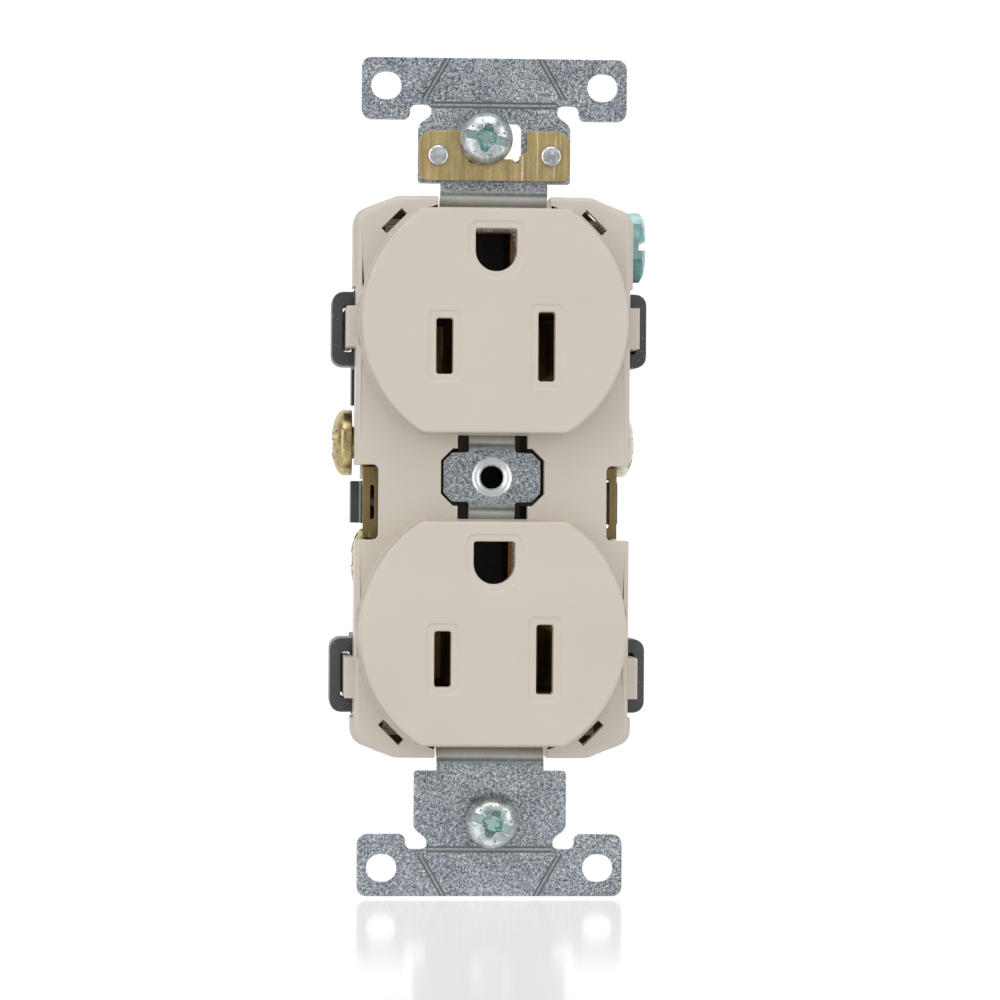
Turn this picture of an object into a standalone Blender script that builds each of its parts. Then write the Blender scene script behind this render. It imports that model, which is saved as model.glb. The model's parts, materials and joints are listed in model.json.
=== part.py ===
"""A duplex wall outlet: two grounded 15 A outlets on one steel mounting strap.

The front faces -Y, +Z is up and +X is to the right of a person who faces the outlet.
The origin is the centre of the back body's flat rear face. Sizes are in metres.
"""

from math import asin, atan2, cos, pi, radians, sin, tan

import bmesh
import bpy
from mathutils import Matrix, Vector

MM = 0.001

# ---- Overall sizes -------------------------------------------------------
BODY_DEPTH = 20.4 * MM  # rear face of the body to the strap's rear face (the wall plane)
STRAP_THICKNESS = 1.0 * MM
LEDGE_RISE = 1.7 * MM  # strap front to the cover's ledge
FACE_RISE = 6.2 * MM  # strap front to the outlet faces
STRAP_WIDTH = 33.4 * MM
STRAP_END = 17.45 * MM  # how far the strap reaches past each end of the cover
COVER_WIDTH = 34.4 * MM
COVER_END_MARGIN = 1.7 * MM  # cover past the flat of each outlet face
GAP = 0.3 * MM  # clearance between touching pieces

# ---- Outlet pattern ------------------------------------------------------
OUTLET_PITCH = 38.9 * MM
BLADE_SPACING = 12.7 * MM
BLADE_DROP = 3.2 * MM  # blade line below the centre of its outlet face
GROUND_RISE = 11.9 * MM  # ground pin above the blade line
BLADE_SLOT_WIDTH = 2.1 * MM
HOT_SLOT_HEIGHT = 6.95 * MM
NEUTRAL_SLOT_HEIGHT = 8.65 * MM
GROUND_HOLE_WIDTH = 5.15 * MM
GROUND_HOLE_TOP = 2.75 * MM  # flat top above the pin's centre
SLOT_CORNER = 0.3 * MM
SLOT_RECESS_DEPTH = 0.25 * MM
SLOT_RECESS_BORDER = 0.9 * MM

# ---- Front cover ---------------------------------------------------------
FACE_RADIUS = 16.7 * MM
FACE_FLAT_HEIGHT = 28.1 * MM  # between the flats at the face's top and bottom
FACE_WALL = 2.4 * MM
COVER_WALL = 1.4 * MM
LEDGE_THICKNESS = 1.8 * MM
SKIRT_DEPTH = 7.4 * MM  # ledge surface to the cover's rear edge
COVER_SHOULDER = 4.9 * MM  # width of the sloped shoulder at each corner
COVER_SHOULDER_DROP = 2.4 * MM
COVER_EDGE_ROUND = 0.7 * MM
FACE_EDGE_ROUND = 0.4 * MM
NECK_NOTCH_DEPTH = 1.4 * MM
LINK_NOTCH_HEIGHT = 9.4 * MM
LINK_NOTCH_DEPTH = 2.9 * MM
POCKET_WIDTH = 13.0 * MM  # eight-sided pocket around the centre pad
POCKET_HEIGHT = 7.2 * MM
POCKET_CHAMFER = 1.5 * MM
POCKET_WINDOW_WIDTH = 8.8 * MM
POCKET_WINDOW_HEIGHT = 10.5 * MM
CORNER_SLOT_LENGTH = 3.6 * MM
CORNER_SLOT_WIDTH = 0.95 * MM
CORNER_SLOT_RADIUS = 17.75 * MM  # from the face's centre to the slot's centre line

# ---- Latches that join the cover and the body ----------------------------
LATCH_OFFSET = 22.0 * MM  # above and below the links
LATCH_ARM_HEIGHT = 5.1 * MM
LATCH_ARM_THICKNESS = 0.8 * MM
LATCH_ARM_SETBACK = 0.2 * MM  # behind the ledge
LATCH_BARB = 0.7 * MM
LATCH_BARB_LENGTH = 1.2 * MM
LOOP_HEIGHT = 9.4 * MM
LOOP_BAR = 1.35 * MM
LOOP_END_BAR = 1.75 * MM
LOOP_DEPTH = 8.0 * MM
LOOP_CORNER = 1.4 * MM

# ---- Back body -----------------------------------------------------------
BODY_SIDE_PROUD = 0.1 * MM  # past the cover's sides
BODY_END_SETBACK = 1.0 * MM  # short of the cover's ends
BODY_CORNER_CUT = 4.8 * MM
BODY_FLOOR = 3.5 * MM
BODY_REAR_CHAMFER = 0.6 * MM
CELL_WALL = 1.0 * MM
CONTACT_CELL_REACH = 2.45 * MM  # from the blade's middle towards the centre
CONTACT_CELL_TOP = 4.5 * MM  # past the blade line
SPINE_DEPTH = 1.9 * MM  # step below the front edge where the ground contacts sit
BODY_END_INSET = 0.7 * MM  # the sides step in beyond the latch loops
SIDE_RELIEF = 1.0 * MM  # and between the loops, in front of the rear rim
REAR_RIM_DEPTH = 6.0 * MM
PLATE_SCREW_WELL_RADIUS = 2.2 * MM
GROUND_SHANK_BAY_HALF = 2.6 * MM
GROUND_SHANK_BAY_X = 8.5 * MM
GAUGE_GROOVE_LENGTH = 16.0 * MM  # strip gauge moulded in the rear face
GAUGE_GROOVE_WIDTH = 2.6 * MM
GAUGE_GROOVE_X = 9.0 * MM
GAUGE_GROOVE_DEPTH = 0.6 * MM

# ---- Mounting strap ------------------------------------------------------
EAR_HEIGHT = 7.8 * MM
EAR_WIDTH = 6.1 * MM
EAR_HOLE_X = 13.6 * MM
EAR_HOLE_DROP = 3.55 * MM  # below the strap's end
EAR_HOLE_WIDTH = 3.8 * MM
EAR_HOLE_HEIGHT = 3.5 * MM
EAR_CORNER = 1.2 * MM
EAR_NOTCH_TOP = 5.9 * MM  # below the strap's end
EAR_NOTCH_INNER_X = 7.95 * MM
EAR_NOTCH_SIDE = 1.3 * MM
SHOULDER_X = 9.6 * MM
SHOULDER_START = 1.7 * MM  # past the cover's end
SHOULDER_CURVE = 9.0 * MM
NECK_WIDTH = 13.5 * MM
STRAP_STEP = 4.5 * MM  # how far the inner run lies behind the mounting plane
STRAP_STEP_RUN = 3.2 * MM
PAD_WIDTH = 12.2 * MM
PAD_HEIGHT = 6.2 * MM
PAD_CHAMFER = 1.1 * MM
BAR_WIDTH = 5.8 * MM
PLATE_SCREW_HOLE = 2.85 * MM  # tapped for the cover plate's screw
GROUND_LAND_HALF = 5.4 * MM
PIN_HOLE_WIDTH = 5.6 * MM
PIN_HOLE_BELOW = 2.8 * MM
PIN_HOLE_ABOVE = 3.0 * MM
PIN_HOLE_CORNER = 0.8 * MM
LAND_SETBACK = 1.2 * MM  # the lower land starts this much further from the pad
WING_LAND = 3.0 * MM  # land between the lower wings and the bar
WING_X = 13.4 * MM
WING_HEIGHT = 2.2 * MM
WING_RISE = 12.05 * MM  # above the centre of the outlet face
GROUND_TAB_INSET = 0.6 * MM  # the ground terminal's tab inside the cover's side
GROUND_TAB_HEIGHT = 7.3 * MM
GROUND_TAB_REAR = -4.6 * MM
SCORE_WIDTH = 0.7 * MM
SCORE_DEPTH = 0.2 * MM
SCORE_TOP_X = 5.5 * MM
SCORE_FOOT_X = 8.8 * MM
PANEL_WIDTH = 10.2 * MM
PANEL_HEIGHT = 2.8 * MM
PANEL_OFFSET = 3.5 * MM  # past the cover's end
PANEL_DEPTH = 0.15 * MM
BEND_RADIUS = 1.0 * MM

# ---- Mounting screws and their slots -------------------------------------
# Places along the strap are measured from the cover's end.
UPPER_SLOT_OFFSET = 6.9 * MM
UPPER_SLOT_HALF_LENGTH = 3.4 * MM
LOWER_SLOT_OFFSET = 7.6 * MM
LOWER_SLOT_HALF_LENGTH = 2.3 * MM
MOUNTING_SCREW_RADIUS = 1.7 * MM
MOUNTING_SCREW_LENGTH = 19.0 * MM
MOUNTING_HEAD_RADIUS = 3.35 * MM
MOUNTING_HEAD_HEIGHT = 2.2 * MM
MOUNTING_HEAD_LIFT = 1.3 * MM  # head's underside in front of the strap, as delivered
UPPER_SCREW_X = -1.1 * MM
LOWER_SCREW_X = 0.2 * MM
UPPER_SCREW_OFFSET = 7.2 * MM
LOWER_SCREW_OFFSET = 8.1 * MM
SLOT_PLAY = 0.35 * MM  # slot edge to the screw, across the slot
SLOT_END_CORNER = 0.8 * MM
RETAINER_RADIUS = 3.2 * MM
RETAINER_THICKNESS = 0.8 * MM

# ---- Self-grounding clip (heights are measured from the cover's end) -----
CLIP_THICKNESS = 0.4 * MM
CLIP_HALF_WIDTH = 9.5 * MM
CLIP_TOP = 8.25 * MM
CLIP_BOTTOM = 2.0 * MM
CLIP_CORNER = 1.7 * MM
CLIP_OPENING_HALF = 4.05 * MM
CLIP_OPENING_FLOOR = 5.1 * MM
CLIP_TONGUE_DROP = 0.35 * MM
CLIP_SLIT_INNER = 2.4 * MM
CLIP_SLIT_OUTER = 3.15 * MM
CLIP_SLIT_FLOOR = 4.2 * MM
CLIP_RIVET_X = 7.1 * MM
CLIP_RIVET_OFFSET = 5.1 * MM
CLIP_RIVET_RADIUS = 0.9 * MM
CLIP_RIVET_HEAD_RADIUS = 1.27 * MM
RIVET_HEAD_HEIGHT = 0.5 * MM

# ---- Terminal buses (contact, side plate and break-off link in one strip) -
BUS_THICKNESS = 0.8 * MM
SIDE_PLATE_INSET = 1.1 * MM  # the upper side plate inside the cover's side
LOWER_PLATE_INSET = 1.6 * MM  # the lower plate is set further in
SIDE_PLATE_HALF = 4.6 * MM
SIDE_PLATE_SETBACK = 0.2 * MM  # behind the body's front edge
RISER_OVERLAP = 0.4 * MM  # the link's walls reach into the side plates
BUS_LIFT = 0.4 * MM  # above the body's floor
LINK_RISE = 2.2 * MM  # in front of the body's front edge
LINK_FLANGE_MARGIN = 0.15 * MM  # flange and notch edge
LINK_HEIGHT = 9.0 * MM
LINK_SLOT_WIDTH = 0.5 * MM
HOT_LINK_SLOT = 4.3 * MM
NEUTRAL_LINK_SLOT = 6.3 * MM
LINK_SLOT_MARGIN = 0.6 * MM
LINK_WINDOW_HEIGHT = 4.0 * MM
LEAF_THICKNESS = 0.6 * MM
LEAF_HALF_HEIGHT = 3.4 * MM
LEAF_MOUTH_DEPTH = 2.2 * MM  # behind the outlet face's inner side
LEAF_BASE_HALF = 1.2 * MM
LEAF_GRIP_HALF = 0.95 * MM
LEAF_MOUTH_HALF = 1.6 * MM
LEAF_GRIP_DEPTH = 4.5 * MM  # behind the mouth
LEAF_KNEE_DEPTH = 13.0 * MM

# ---- Terminal screws -----------------------------------------------------
TERMINAL_OFFSET = 7.6 * MM  # above and below the links
TERMINAL_Y = -9.5 * MM
TERMINAL_SHANK_RADIUS = 2.08 * MM
TERMINAL_SHANK_LENGTH = 6.2 * MM
TERMINAL_HEAD_RADIUS = 4.2 * MM
TERMINAL_HEAD_HEIGHT = 2.6 * MM
TERMINAL_HEAD_EDGE = 1.0 * MM
BRASS_BACKED_OUT = 0.95 * MM  # the upper brass screw stands out a little
GROUND_SCREW_Y = -10.4 * MM
GROUND_SCREW_DROP = 2.9 * MM  # below the top of the ground terminal's tab
GROUND_HEX_ACROSS_FLATS = 7.94 * MM
GROUND_HEAD_HEIGHT = 3.0 * MM
GROUND_HEX_TURN = radians(21.0)
DRIVE_SLOT_WIDTH = 1.1 * MM
DRIVE_SLOT_DEPTH = 0.9 * MM

# ---- Ground contacts -----------------------------------------------------
GROUND_SHEET = 0.6 * MM
GROUND_PLATE_HALF_WIDTH = 6.3 * MM
GROUND_PLATE_HALF_HEIGHT = 3.7 * MM
GROUND_LEAF_HALF_GAP = 2.2 * MM  # half the gap where the leaves grip the pin
GROUND_LEAF_ROOT_HALF = 2.5 * MM
GROUND_LEAF_HALF_HEIGHT = 2.6 * MM
GROUND_LEAF_REAR = -5.2 * MM
GROUND_LEAF_GRIP_Y = -8.5 * MM
GROUND_RIVET_X = 4.9 * MM
GROUND_RIVET_RADIUS = 0.75 * MM
GROUND_RIVET_HEAD_RADIUS = 1.3 * MM

# ---- Planes and places that follow from the sizes above ------------------
STRAP_REAR_Y = -BODY_DEPTH
STRAP_FRONT_Y = STRAP_REAR_Y - STRAP_THICKNESS
LEDGE_Y = STRAP_FRONT_Y - LEDGE_RISE
FACE_Y = STRAP_FRONT_Y - FACE_RISE
COVER_REAR_Y = LEDGE_Y + SKIRT_DEPTH
BODY_FRONT_Y = COVER_REAR_Y + GAP
INNER_REAR_Y = STRAP_REAR_Y + STRAP_STEP  # rear face of the strap's inner run
INNER_FRONT_Y = INNER_REAR_Y - STRAP_THICKNESS
COVER_HEIGHT = OUTLET_PITCH + FACE_FLAT_HEIGHT + 2 * COVER_END_MARGIN
COVER_END = COVER_HEIGHT / 2
COVER_SIDE_X = COVER_WIDTH / 2
STRAP_HEIGHT = COVER_HEIGHT + 2 * STRAP_END
BODY_HEIGHT = COVER_HEIGHT - 2 * BODY_END_SETBACK
FACE_CENTRES = (OUTLET_PITCH / 2, -OUTLET_PITCH / 2)
BLADE_LINES = tuple(z - BLADE_DROP for z in FACE_CENTRES)
LINK_Z = -BLADE_DROP  # the break-off links are midway between the two blade lines
LINK_NOTCH_X = COVER_SIDE_X - LINK_NOTCH_DEPTH
GROUND_PINS = tuple(z + GROUND_RISE for z in BLADE_LINES)
LATCH_CENTRES = (LINK_Z + LATCH_OFFSET, LINK_Z - LATCH_OFFSET)
TERMINAL_CENTRES = (LINK_Z + TERMINAL_OFFSET, LINK_Z - TERMINAL_OFFSET)
BODY_SIDE_X = COVER_SIDE_X + BODY_SIDE_PROUD
LATCH_ARM_INNER_X = BODY_SIDE_X + GAP
LATCH_ARM_OUTER_X = LATCH_ARM_INNER_X + LATCH_ARM_THICKNESS
LOOP_INNER_X = LATCH_ARM_OUTER_X + GAP
LOOP_OUTER_X = LOOP_INNER_X + LOOP_BAR
LOOP_FRONT_Y = BODY_FRONT_Y + 0.8 * MM
LOOP_REAR_Y = LOOP_FRONT_Y + LOOP_DEPTH
CLIP_REAR_Y = STRAP_FRONT_Y - GAP
CLIP_FRONT_Y = CLIP_REAR_Y - CLIP_THICKNESS
GROUND_PLATE_FRONT_Y = INNER_REAR_Y + GAP
SHOULDER_END_Z = COVER_END + SHOULDER_START
EAR_HOLE_Z = STRAP_HEIGHT / 2 - EAR_HOLE_DROP
WING_TOP = OUTLET_PITCH / 2 + WING_RISE + WING_HEIGHT / 2
WING_FOOT = WING_TOP - WING_HEIGHT
GROUND_TAB_X = COVER_SIDE_X - GROUND_TAB_INSET  # outer face of the tab
GROUND_TAB_FOOT = WING_TOP - GROUND_TAB_HEIGHT
GROUND_SCREW_Z = WING_TOP - GROUND_SCREW_DROP
CLIP_RIVET_Z = COVER_END + CLIP_RIVET_OFFSET
SIDE_PLATE_X = COVER_SIDE_X - SIDE_PLATE_INSET  # outer face of the upper side plate
SIDE_PLATE_FRONT = BODY_FRONT_Y + SIDE_PLATE_SETBACK
CONTACT_CELL_INNER_X = BLADE_SPACING / 2 - CONTACT_CELL_REACH
CONTACT_CELL_OUTER_X = SIDE_PLATE_X - BUS_THICKNESS - GAP
RISER_REAR = SIDE_PLATE_FRONT + RISER_OVERLAP
BUS_REAR = -BODY_FLOOR - BUS_LIFT
LINK_FRONT = BODY_FRONT_Y - LINK_RISE
LINK_FLANGE_X = LINK_NOTCH_X + LINK_FLANGE_MARGIN
LEAF_MOUTH_Y = FACE_Y + FACE_WALL + LEAF_MOUTH_DEPTH
ARC_STEP = radians(12)


# ---- Small tools ---------------------------------------------------------
def make_material(name, colour, roughness, metallic=0.0):
    """A plain Principled material."""
    material = bpy.data.materials.new(name)
    material.use_nodes = True
    shader = material.node_tree.nodes["Principled BSDF"]
    shader.inputs["Base Color"].default_value = (*colour, 1.0)
    shader.inputs["Roughness"].default_value = roughness
    shader.inputs["Metallic"].default_value = metallic
    return material


def add_object(name, mesh_maker, material=None):
    """Makes an object from a filled bmesh, with its faces turned outwards."""
    bmesh.ops.recalc_face_normals(mesh_maker, faces=mesh_maker.faces)
    mesh = bpy.data.meshes.new(name)
    mesh_maker.to_mesh(mesh)
    mesh_maker.free()
    if material is not None:
        mesh.materials.append(material)
    piece = bpy.data.objects.new(name, mesh)
    bpy.context.scene.collection.objects.link(piece)
    return piece


def shade_round(piece):
    """Smooth shading that keeps the sharp edges."""
    piece.data.shade_smooth()
    piece.data.set_sharp_from_angle(angle=radians(35))
    return piece


def combine(target, tool, operation):
    """A live Boolean of the tool on the target; the tool itself is not part of the model."""
    boolean = target.modifiers.new(tool.name, "BOOLEAN")
    boolean.operation = operation
    boolean.solver = "EXACT"
    boolean.object = tool
    tool.hide_render = True
    tool.display_type = "WIRE"
    if tool.parent is None:
        tool.parent = target
    return target


def cut(target, *tools):
    for tool in tools:
        combine(target, tool, "DIFFERENCE")
    return target


def join(target, *tools):
    for tool in tools:
        combine(target, tool, "UNION")
    return target


def rounded(corners):
    """Turns corners (u, v, radius) into an outline whose corners are arcs."""
    outline = []
    for index, (u, v, radius) in enumerate(corners):
        here = Vector((u, v))
        before = Vector(corners[index - 1][:2]) - here
        after = Vector(corners[(index + 1) % len(corners)][:2]) - here
        if radius == 0:
            outline.append((u, v))
            continue
        half = before.angle(after) / 2
        reach = radius / tan(half)
        centre = here + (before.normalized() + after.normalized()).normalized() * (radius / sin(half))
        first = here + before.normalized() * reach - centre
        last = here + after.normalized() * reach - centre
        sweep = first.angle_signed(last)
        steps = max(1, round(abs(sweep) / (2 * ARC_STEP)))
        for step in range(steps + 1):
            turned = Matrix.Rotation(-sweep * step / steps, 2) @ first
            outline.append(tuple(centre + turned))
    return outline


def rectangle(u, v, width, height, radius=0.0):
    """A rectangle's outline about its centre, with rounded corners if a radius is given."""
    half_u, half_v = width / 2, height / 2
    signs = ((-1, -1), (1, -1), (1, 1), (-1, 1))
    return rounded([(u + su * half_u, v + sv * half_v, radius) for su, sv in signs])


def mirrored(half):
    """Closes a half outline, given from the top to the bottom at +u, by its mirror image."""
    return half + [(-u, v, *rest) for u, v, *rest in reversed(half)]


def ribbon(path, thickness):
    """The outline of a bent sheet of even thickness about a centre line."""
    sides = ([], [])
    for index, point in enumerate(path):
        here = Vector(point)
        towards = []
        if index > 0:
            towards.append((here - Vector(path[index - 1])).normalized())
        if index < len(path) - 1:
            towards.append((Vector(path[index + 1]) - here).normalized())
        along = sum(towards, Vector((0, 0))).normalized()
        across = Vector((-along.y, along.x)) * (thickness / 2 / along.dot(towards[0]))
        sides[0].append(tuple(here + across))
        sides[1].append(tuple(here - across))
    return sides[0] + sides[1][::-1]


def prism(name, outline, start, end, axis="Y", material=None):
    """An outline extruded along an axis. It lies in XZ, YZ or XY for the axis Y, X or Z."""
    place = {
        "X": lambda u, v, depth: (depth, u, v),
        "Y": lambda u, v, depth: (u, depth, v),
        "Z": lambda u, v, depth: (u, v, depth),
    }[axis]
    maker = bmesh.new()
    base = maker.faces.new([maker.verts.new(place(u, v, start)) for u, v in outline])
    grown = bmesh.ops.extrude_face_region(maker, geom=[base])
    moved = [item for item in grown["geom"] if isinstance(item, bmesh.types.BMVert)]
    bmesh.ops.translate(maker, verts=moved, vec=place(0, 0, end - start))
    return add_object(name, maker, material)


def block(name, low, high, material=None):
    """A box from its lowest to its highest corner."""
    size = [high[axis] - low[axis] for axis in range(3)]
    centre = [(high[axis] + low[axis]) / 2 for axis in range(3)]
    maker = bmesh.new()
    bmesh.ops.create_cube(maker, size=1.0, matrix=Matrix.Translation(centre) @ Matrix.Diagonal((*size, 1)))
    return add_object(name, maker, material)


def turned(name, profile, segments=24, material=None):
    """A solid of revolution about local Z, from points (radius, height) that end on the axis."""
    maker = bmesh.new()
    verts = [maker.verts.new((radius, 0, height)) for radius, height in profile]
    edges = [maker.edges.new(pair) for pair in zip(verts, verts[1:])]
    bmesh.ops.spin(
        maker,
        geom=verts + edges,
        cent=(0, 0, 0),
        axis=(0, 0, 1),
        angle=2 * pi,
        steps=segments,
        use_merge=True,
    )
    bmesh.ops.remove_doubles(maker, verts=maker.verts, dist=1e-7)
    return shade_round(add_object(name, maker, material))


def rod(name, centre, radius, start, end, axis="Y", segments=24):
    """A round bar along an axis, used as a cutter for holes."""
    angles = [2 * pi * step / segments for step in range(segments)]
    outline = [(centre[0] + radius * cos(a), centre[1] + radius * sin(a)) for a in angles]
    return prism(name, outline, start, end, axis)


def soften_front(piece, front_y, width, segments=2):
    """Bevels the edges that lie on one plane across Y."""
    maker = bmesh.new()
    maker.from_mesh(piece.data)
    edges = [e for e in maker.edges if all(abs(v.co.y - front_y) < 1e-6 for v in e.verts)]
    bmesh.ops.bevel(
        maker,
        geom=edges,
        offset=width,
        offset_type="OFFSET",
        segments=segments,
        profile=0.5,
        affect="EDGES",
        material=-1,
    )
    maker.to_mesh(piece.data)
    maker.free()
    return piece


# ---- Outlines ------------------------------------------------------------
def face_outline(centre_z, inset=0.0):
    """A circle with a flat at the top and at the bottom."""
    radius = FACE_RADIUS - inset
    half_flat = FACE_FLAT_HEIGHT / 2 - inset
    reach = asin(half_flat / radius)
    steps = max(4, round(2 * reach / ARC_STEP))
    angles = [-reach + 2 * reach * step / steps for step in range(steps + 1)]
    right = [(radius * cos(a), centre_z + radius * sin(a)) for a in angles]
    left = [(-u, v) for u, v in reversed(right)]
    return right + left


def cover_outline(inset=0.0):
    """The cover's rectangle with a sloped shoulder at each corner."""
    half_width = COVER_SIDE_X - inset
    half_height = COVER_END - inset
    slope = atan2(COVER_SHOULDER_DROP, COVER_SHOULDER)
    shoulder_x = COVER_SIDE_X - COVER_SHOULDER - inset * tan(slope / 2)
    shoulder_z = COVER_END - COVER_SHOULDER_DROP - inset * tan((pi / 2 - slope) / 2)
    quarter = [(shoulder_x, half_height, 3 * MM), (half_width, shoulder_z, 2 * MM - inset)]
    right = quarter + [(u, -v, r) for u, v, r in reversed(quarter)]
    return rounded(mirrored(right))


def body_outline():
    """The body's sides step in above the upper latch loops; its corners are cut off."""
    half_height = BODY_HEIGHT / 2
    end_x = BODY_SIDE_X - BODY_END_INSET
    step_reach = LATCH_OFFSET + LOOP_HEIGHT / 2 + GAP
    step_top = LINK_Z + step_reach
    step_foot = LINK_Z - step_reach
    right = [
        (end_x - BODY_CORNER_CUT, half_height, 0),
        (end_x, half_height - BODY_CORNER_CUT, 0),
        (end_x, step_top, 0),
        (BODY_SIDE_X, step_top, 0),
        (BODY_SIDE_X, step_foot, 0),
        (BODY_SIDE_X - half_height - step_foot, -half_height, 0),
    ]
    return rounded(mirrored(right))


def ground_outline(centre_z, border=0.0):
    """The ground hole: flat at the top and round at the bottom."""
    half = GROUND_HOLE_WIDTH / 2 + border
    top = centre_z + GROUND_HOLE_TOP + border
    steps = 10
    angles = [-pi * step / steps for step in range(steps + 1)]
    arc = [(half * cos(a), centre_z + half * sin(a)) for a in angles]
    corner = SLOT_CORNER if border == 0 else 2 * SLOT_CORNER
    crown = rounded([(-half, centre_z, 0), (-half, top, corner), (half, top, corner), (half, centre_z, 0)])
    return crown[1:-1] + arc


def strap_outline():
    """The strap's flat outline, wings and centre pad included."""
    top = STRAP_HEIGHT / 2
    side = STRAP_WIDTH / 2
    ear_inner = side - EAR_WIDTH
    notch_top = top - EAR_NOTCH_TOP
    ear_foot = top - EAR_HEIGHT
    head = [
        (side, top, EAR_CORNER),
        (side, ear_foot, EAR_CORNER),
        (ear_inner, ear_foot, 0.8 * MM),
        (ear_inner, notch_top, 0.8 * MM),
        (EAR_NOTCH_INNER_X, notch_top, 0.8 * MM),
        (EAR_NOTCH_INNER_X, notch_top - EAR_NOTCH_SIDE, 0.8 * MM),
        (SHOULDER_X, COVER_END + SHOULDER_CURVE, 1.2 * MM),
        (SHOULDER_X, SHOULDER_END_Z, 0.4 * MM),
        (NECK_WIDTH / 2, SHOULDER_END_Z, 0),
    ]
    upper_run = [
        (NECK_WIDTH / 2, WING_TOP, 0),
        (WING_X, WING_TOP, 0),
        (WING_X, WING_FOOT, 0),
        (NECK_WIDTH / 2, WING_FOOT, 0),
        *land_corners(GROUND_PINS[0]),
    ]
    pad = [
        (BAR_WIDTH / 2, PAD_HEIGHT / 2, 0),
        (PAD_WIDTH / 2 - PAD_CHAMFER, PAD_HEIGHT / 2, 0),
        (PAD_WIDTH / 2, PAD_HEIGHT / 2 - PAD_CHAMFER, 0),
        (PAD_WIDTH / 2, -PAD_HEIGHT / 2 + PAD_CHAMFER, 0),
        (PAD_WIDTH / 2 - PAD_CHAMFER, -PAD_HEIGHT / 2, 0),
        (BAR_WIDTH / 2, -PAD_HEIGHT / 2, 0),
    ]
    lower_land = land_corners(GROUND_PINS[1], from_bar=True)
    lower_run = [(u, -v, r) for u, v, r in reversed(head)]
    lower_wing = [
        (BAR_WIDTH / 2, -WING_FOOT + WING_LAND, 0),
        (NECK_WIDTH / 2, -WING_FOOT + WING_LAND, 0),
        (NECK_WIDTH / 2, -WING_FOOT, 0),
        (WING_X, -WING_FOOT, 0),
        (WING_X, -WING_TOP, 0),
        (NECK_WIDTH / 2, -WING_TOP, 0),
    ]
    return rounded(mirrored(head + upper_run + pad + lower_land + lower_wing + lower_run))


def land_corners(pin_z, from_bar=False):
    """The wide land around a ground pin, between the bar above and below it."""
    half = NECK_WIDTH / 2
    corners = [
        (half, pin_z - GROUND_LAND_HALF, 0.5 * MM),
        (BAR_WIDTH / 2, pin_z - GROUND_LAND_HALF, 0.5 * MM),
    ]
    if from_bar:
        above = [
            (BAR_WIDTH / 2, pin_z + GROUND_LAND_HALF - LAND_SETBACK, 0),
            (half, pin_z + GROUND_LAND_HALF - LAND_SETBACK, 0.5 * MM),
        ]
        corners = above + corners
    return corners


# ---- The pieces ----------------------------------------------------------
def build_front_cover(material):
    cover = prism("front_cover", cover_outline(), LEDGE_Y, COVER_REAR_Y, material=material)
    soften_front(cover, LEDGE_Y, COVER_EDGE_ROUND)
    for label, centre_z in zip(("upper", "lower"), FACE_CENTRES):
        disc = prism(f"face_{label}", face_outline(centre_z), FACE_Y, LEDGE_Y + LEDGE_THICKNESS / 2)
        join(cover, soften_front(disc, FACE_Y, FACE_EDGE_ROUND))
    add_latch_arms(cover)
    behind = COVER_REAR_Y + 1.0 * MM
    hollow = prism("cover_hollow", cover_outline(COVER_WALL), LEDGE_Y + LEDGE_THICKNESS, behind)
    cut(cover, hollow)
    for label, centre_z in zip(("upper", "lower"), FACE_CENTRES):
        inner = face_outline(centre_z, inset=FACE_WALL)
        cut(cover, prism(f"face_hollow_{label}", inner, FACE_Y + FACE_WALL, behind))
    cut_cover_sides(cover)
    cut_ground_notch(cover)
    cut_outlet_openings(cover)
    return shade_round(cover)


def add_latch_arms(cover):
    """Four arms with barbs that pass through the body's loops."""
    rear = LOOP_REAR_Y + GAP + LATCH_BARB_LENGTH
    arm_front = LEDGE_Y + LATCH_ARM_SETBACK
    for label, centre_z in zip(("upper", "lower"), LATCH_CENTRES):
        for side, sign in (("right", 1), ("left", -1)):
            path = [
                (COVER_SIDE_X - COVER_WALL / 2, arm_front),
                (LATCH_ARM_OUTER_X, arm_front),
                (LATCH_ARM_OUTER_X, LOOP_REAR_Y + GAP),
                (LATCH_ARM_OUTER_X + LATCH_BARB, LOOP_REAR_Y + GAP),
                (LATCH_ARM_OUTER_X, rear),
                (LATCH_ARM_INNER_X, rear),
                (LATCH_ARM_INNER_X, COVER_REAR_Y),
                (COVER_SIDE_X - COVER_WALL / 2, COVER_REAR_Y - GAP),
            ]
            outline = [(sign * u, v) for u, v in path]
            half = LATCH_ARM_HEIGHT / 2
            name = f"latch_arm_{label}_{side}"
            join(cover, prism(name, outline, centre_z - half, centre_z + half, axis="Z"))


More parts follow.
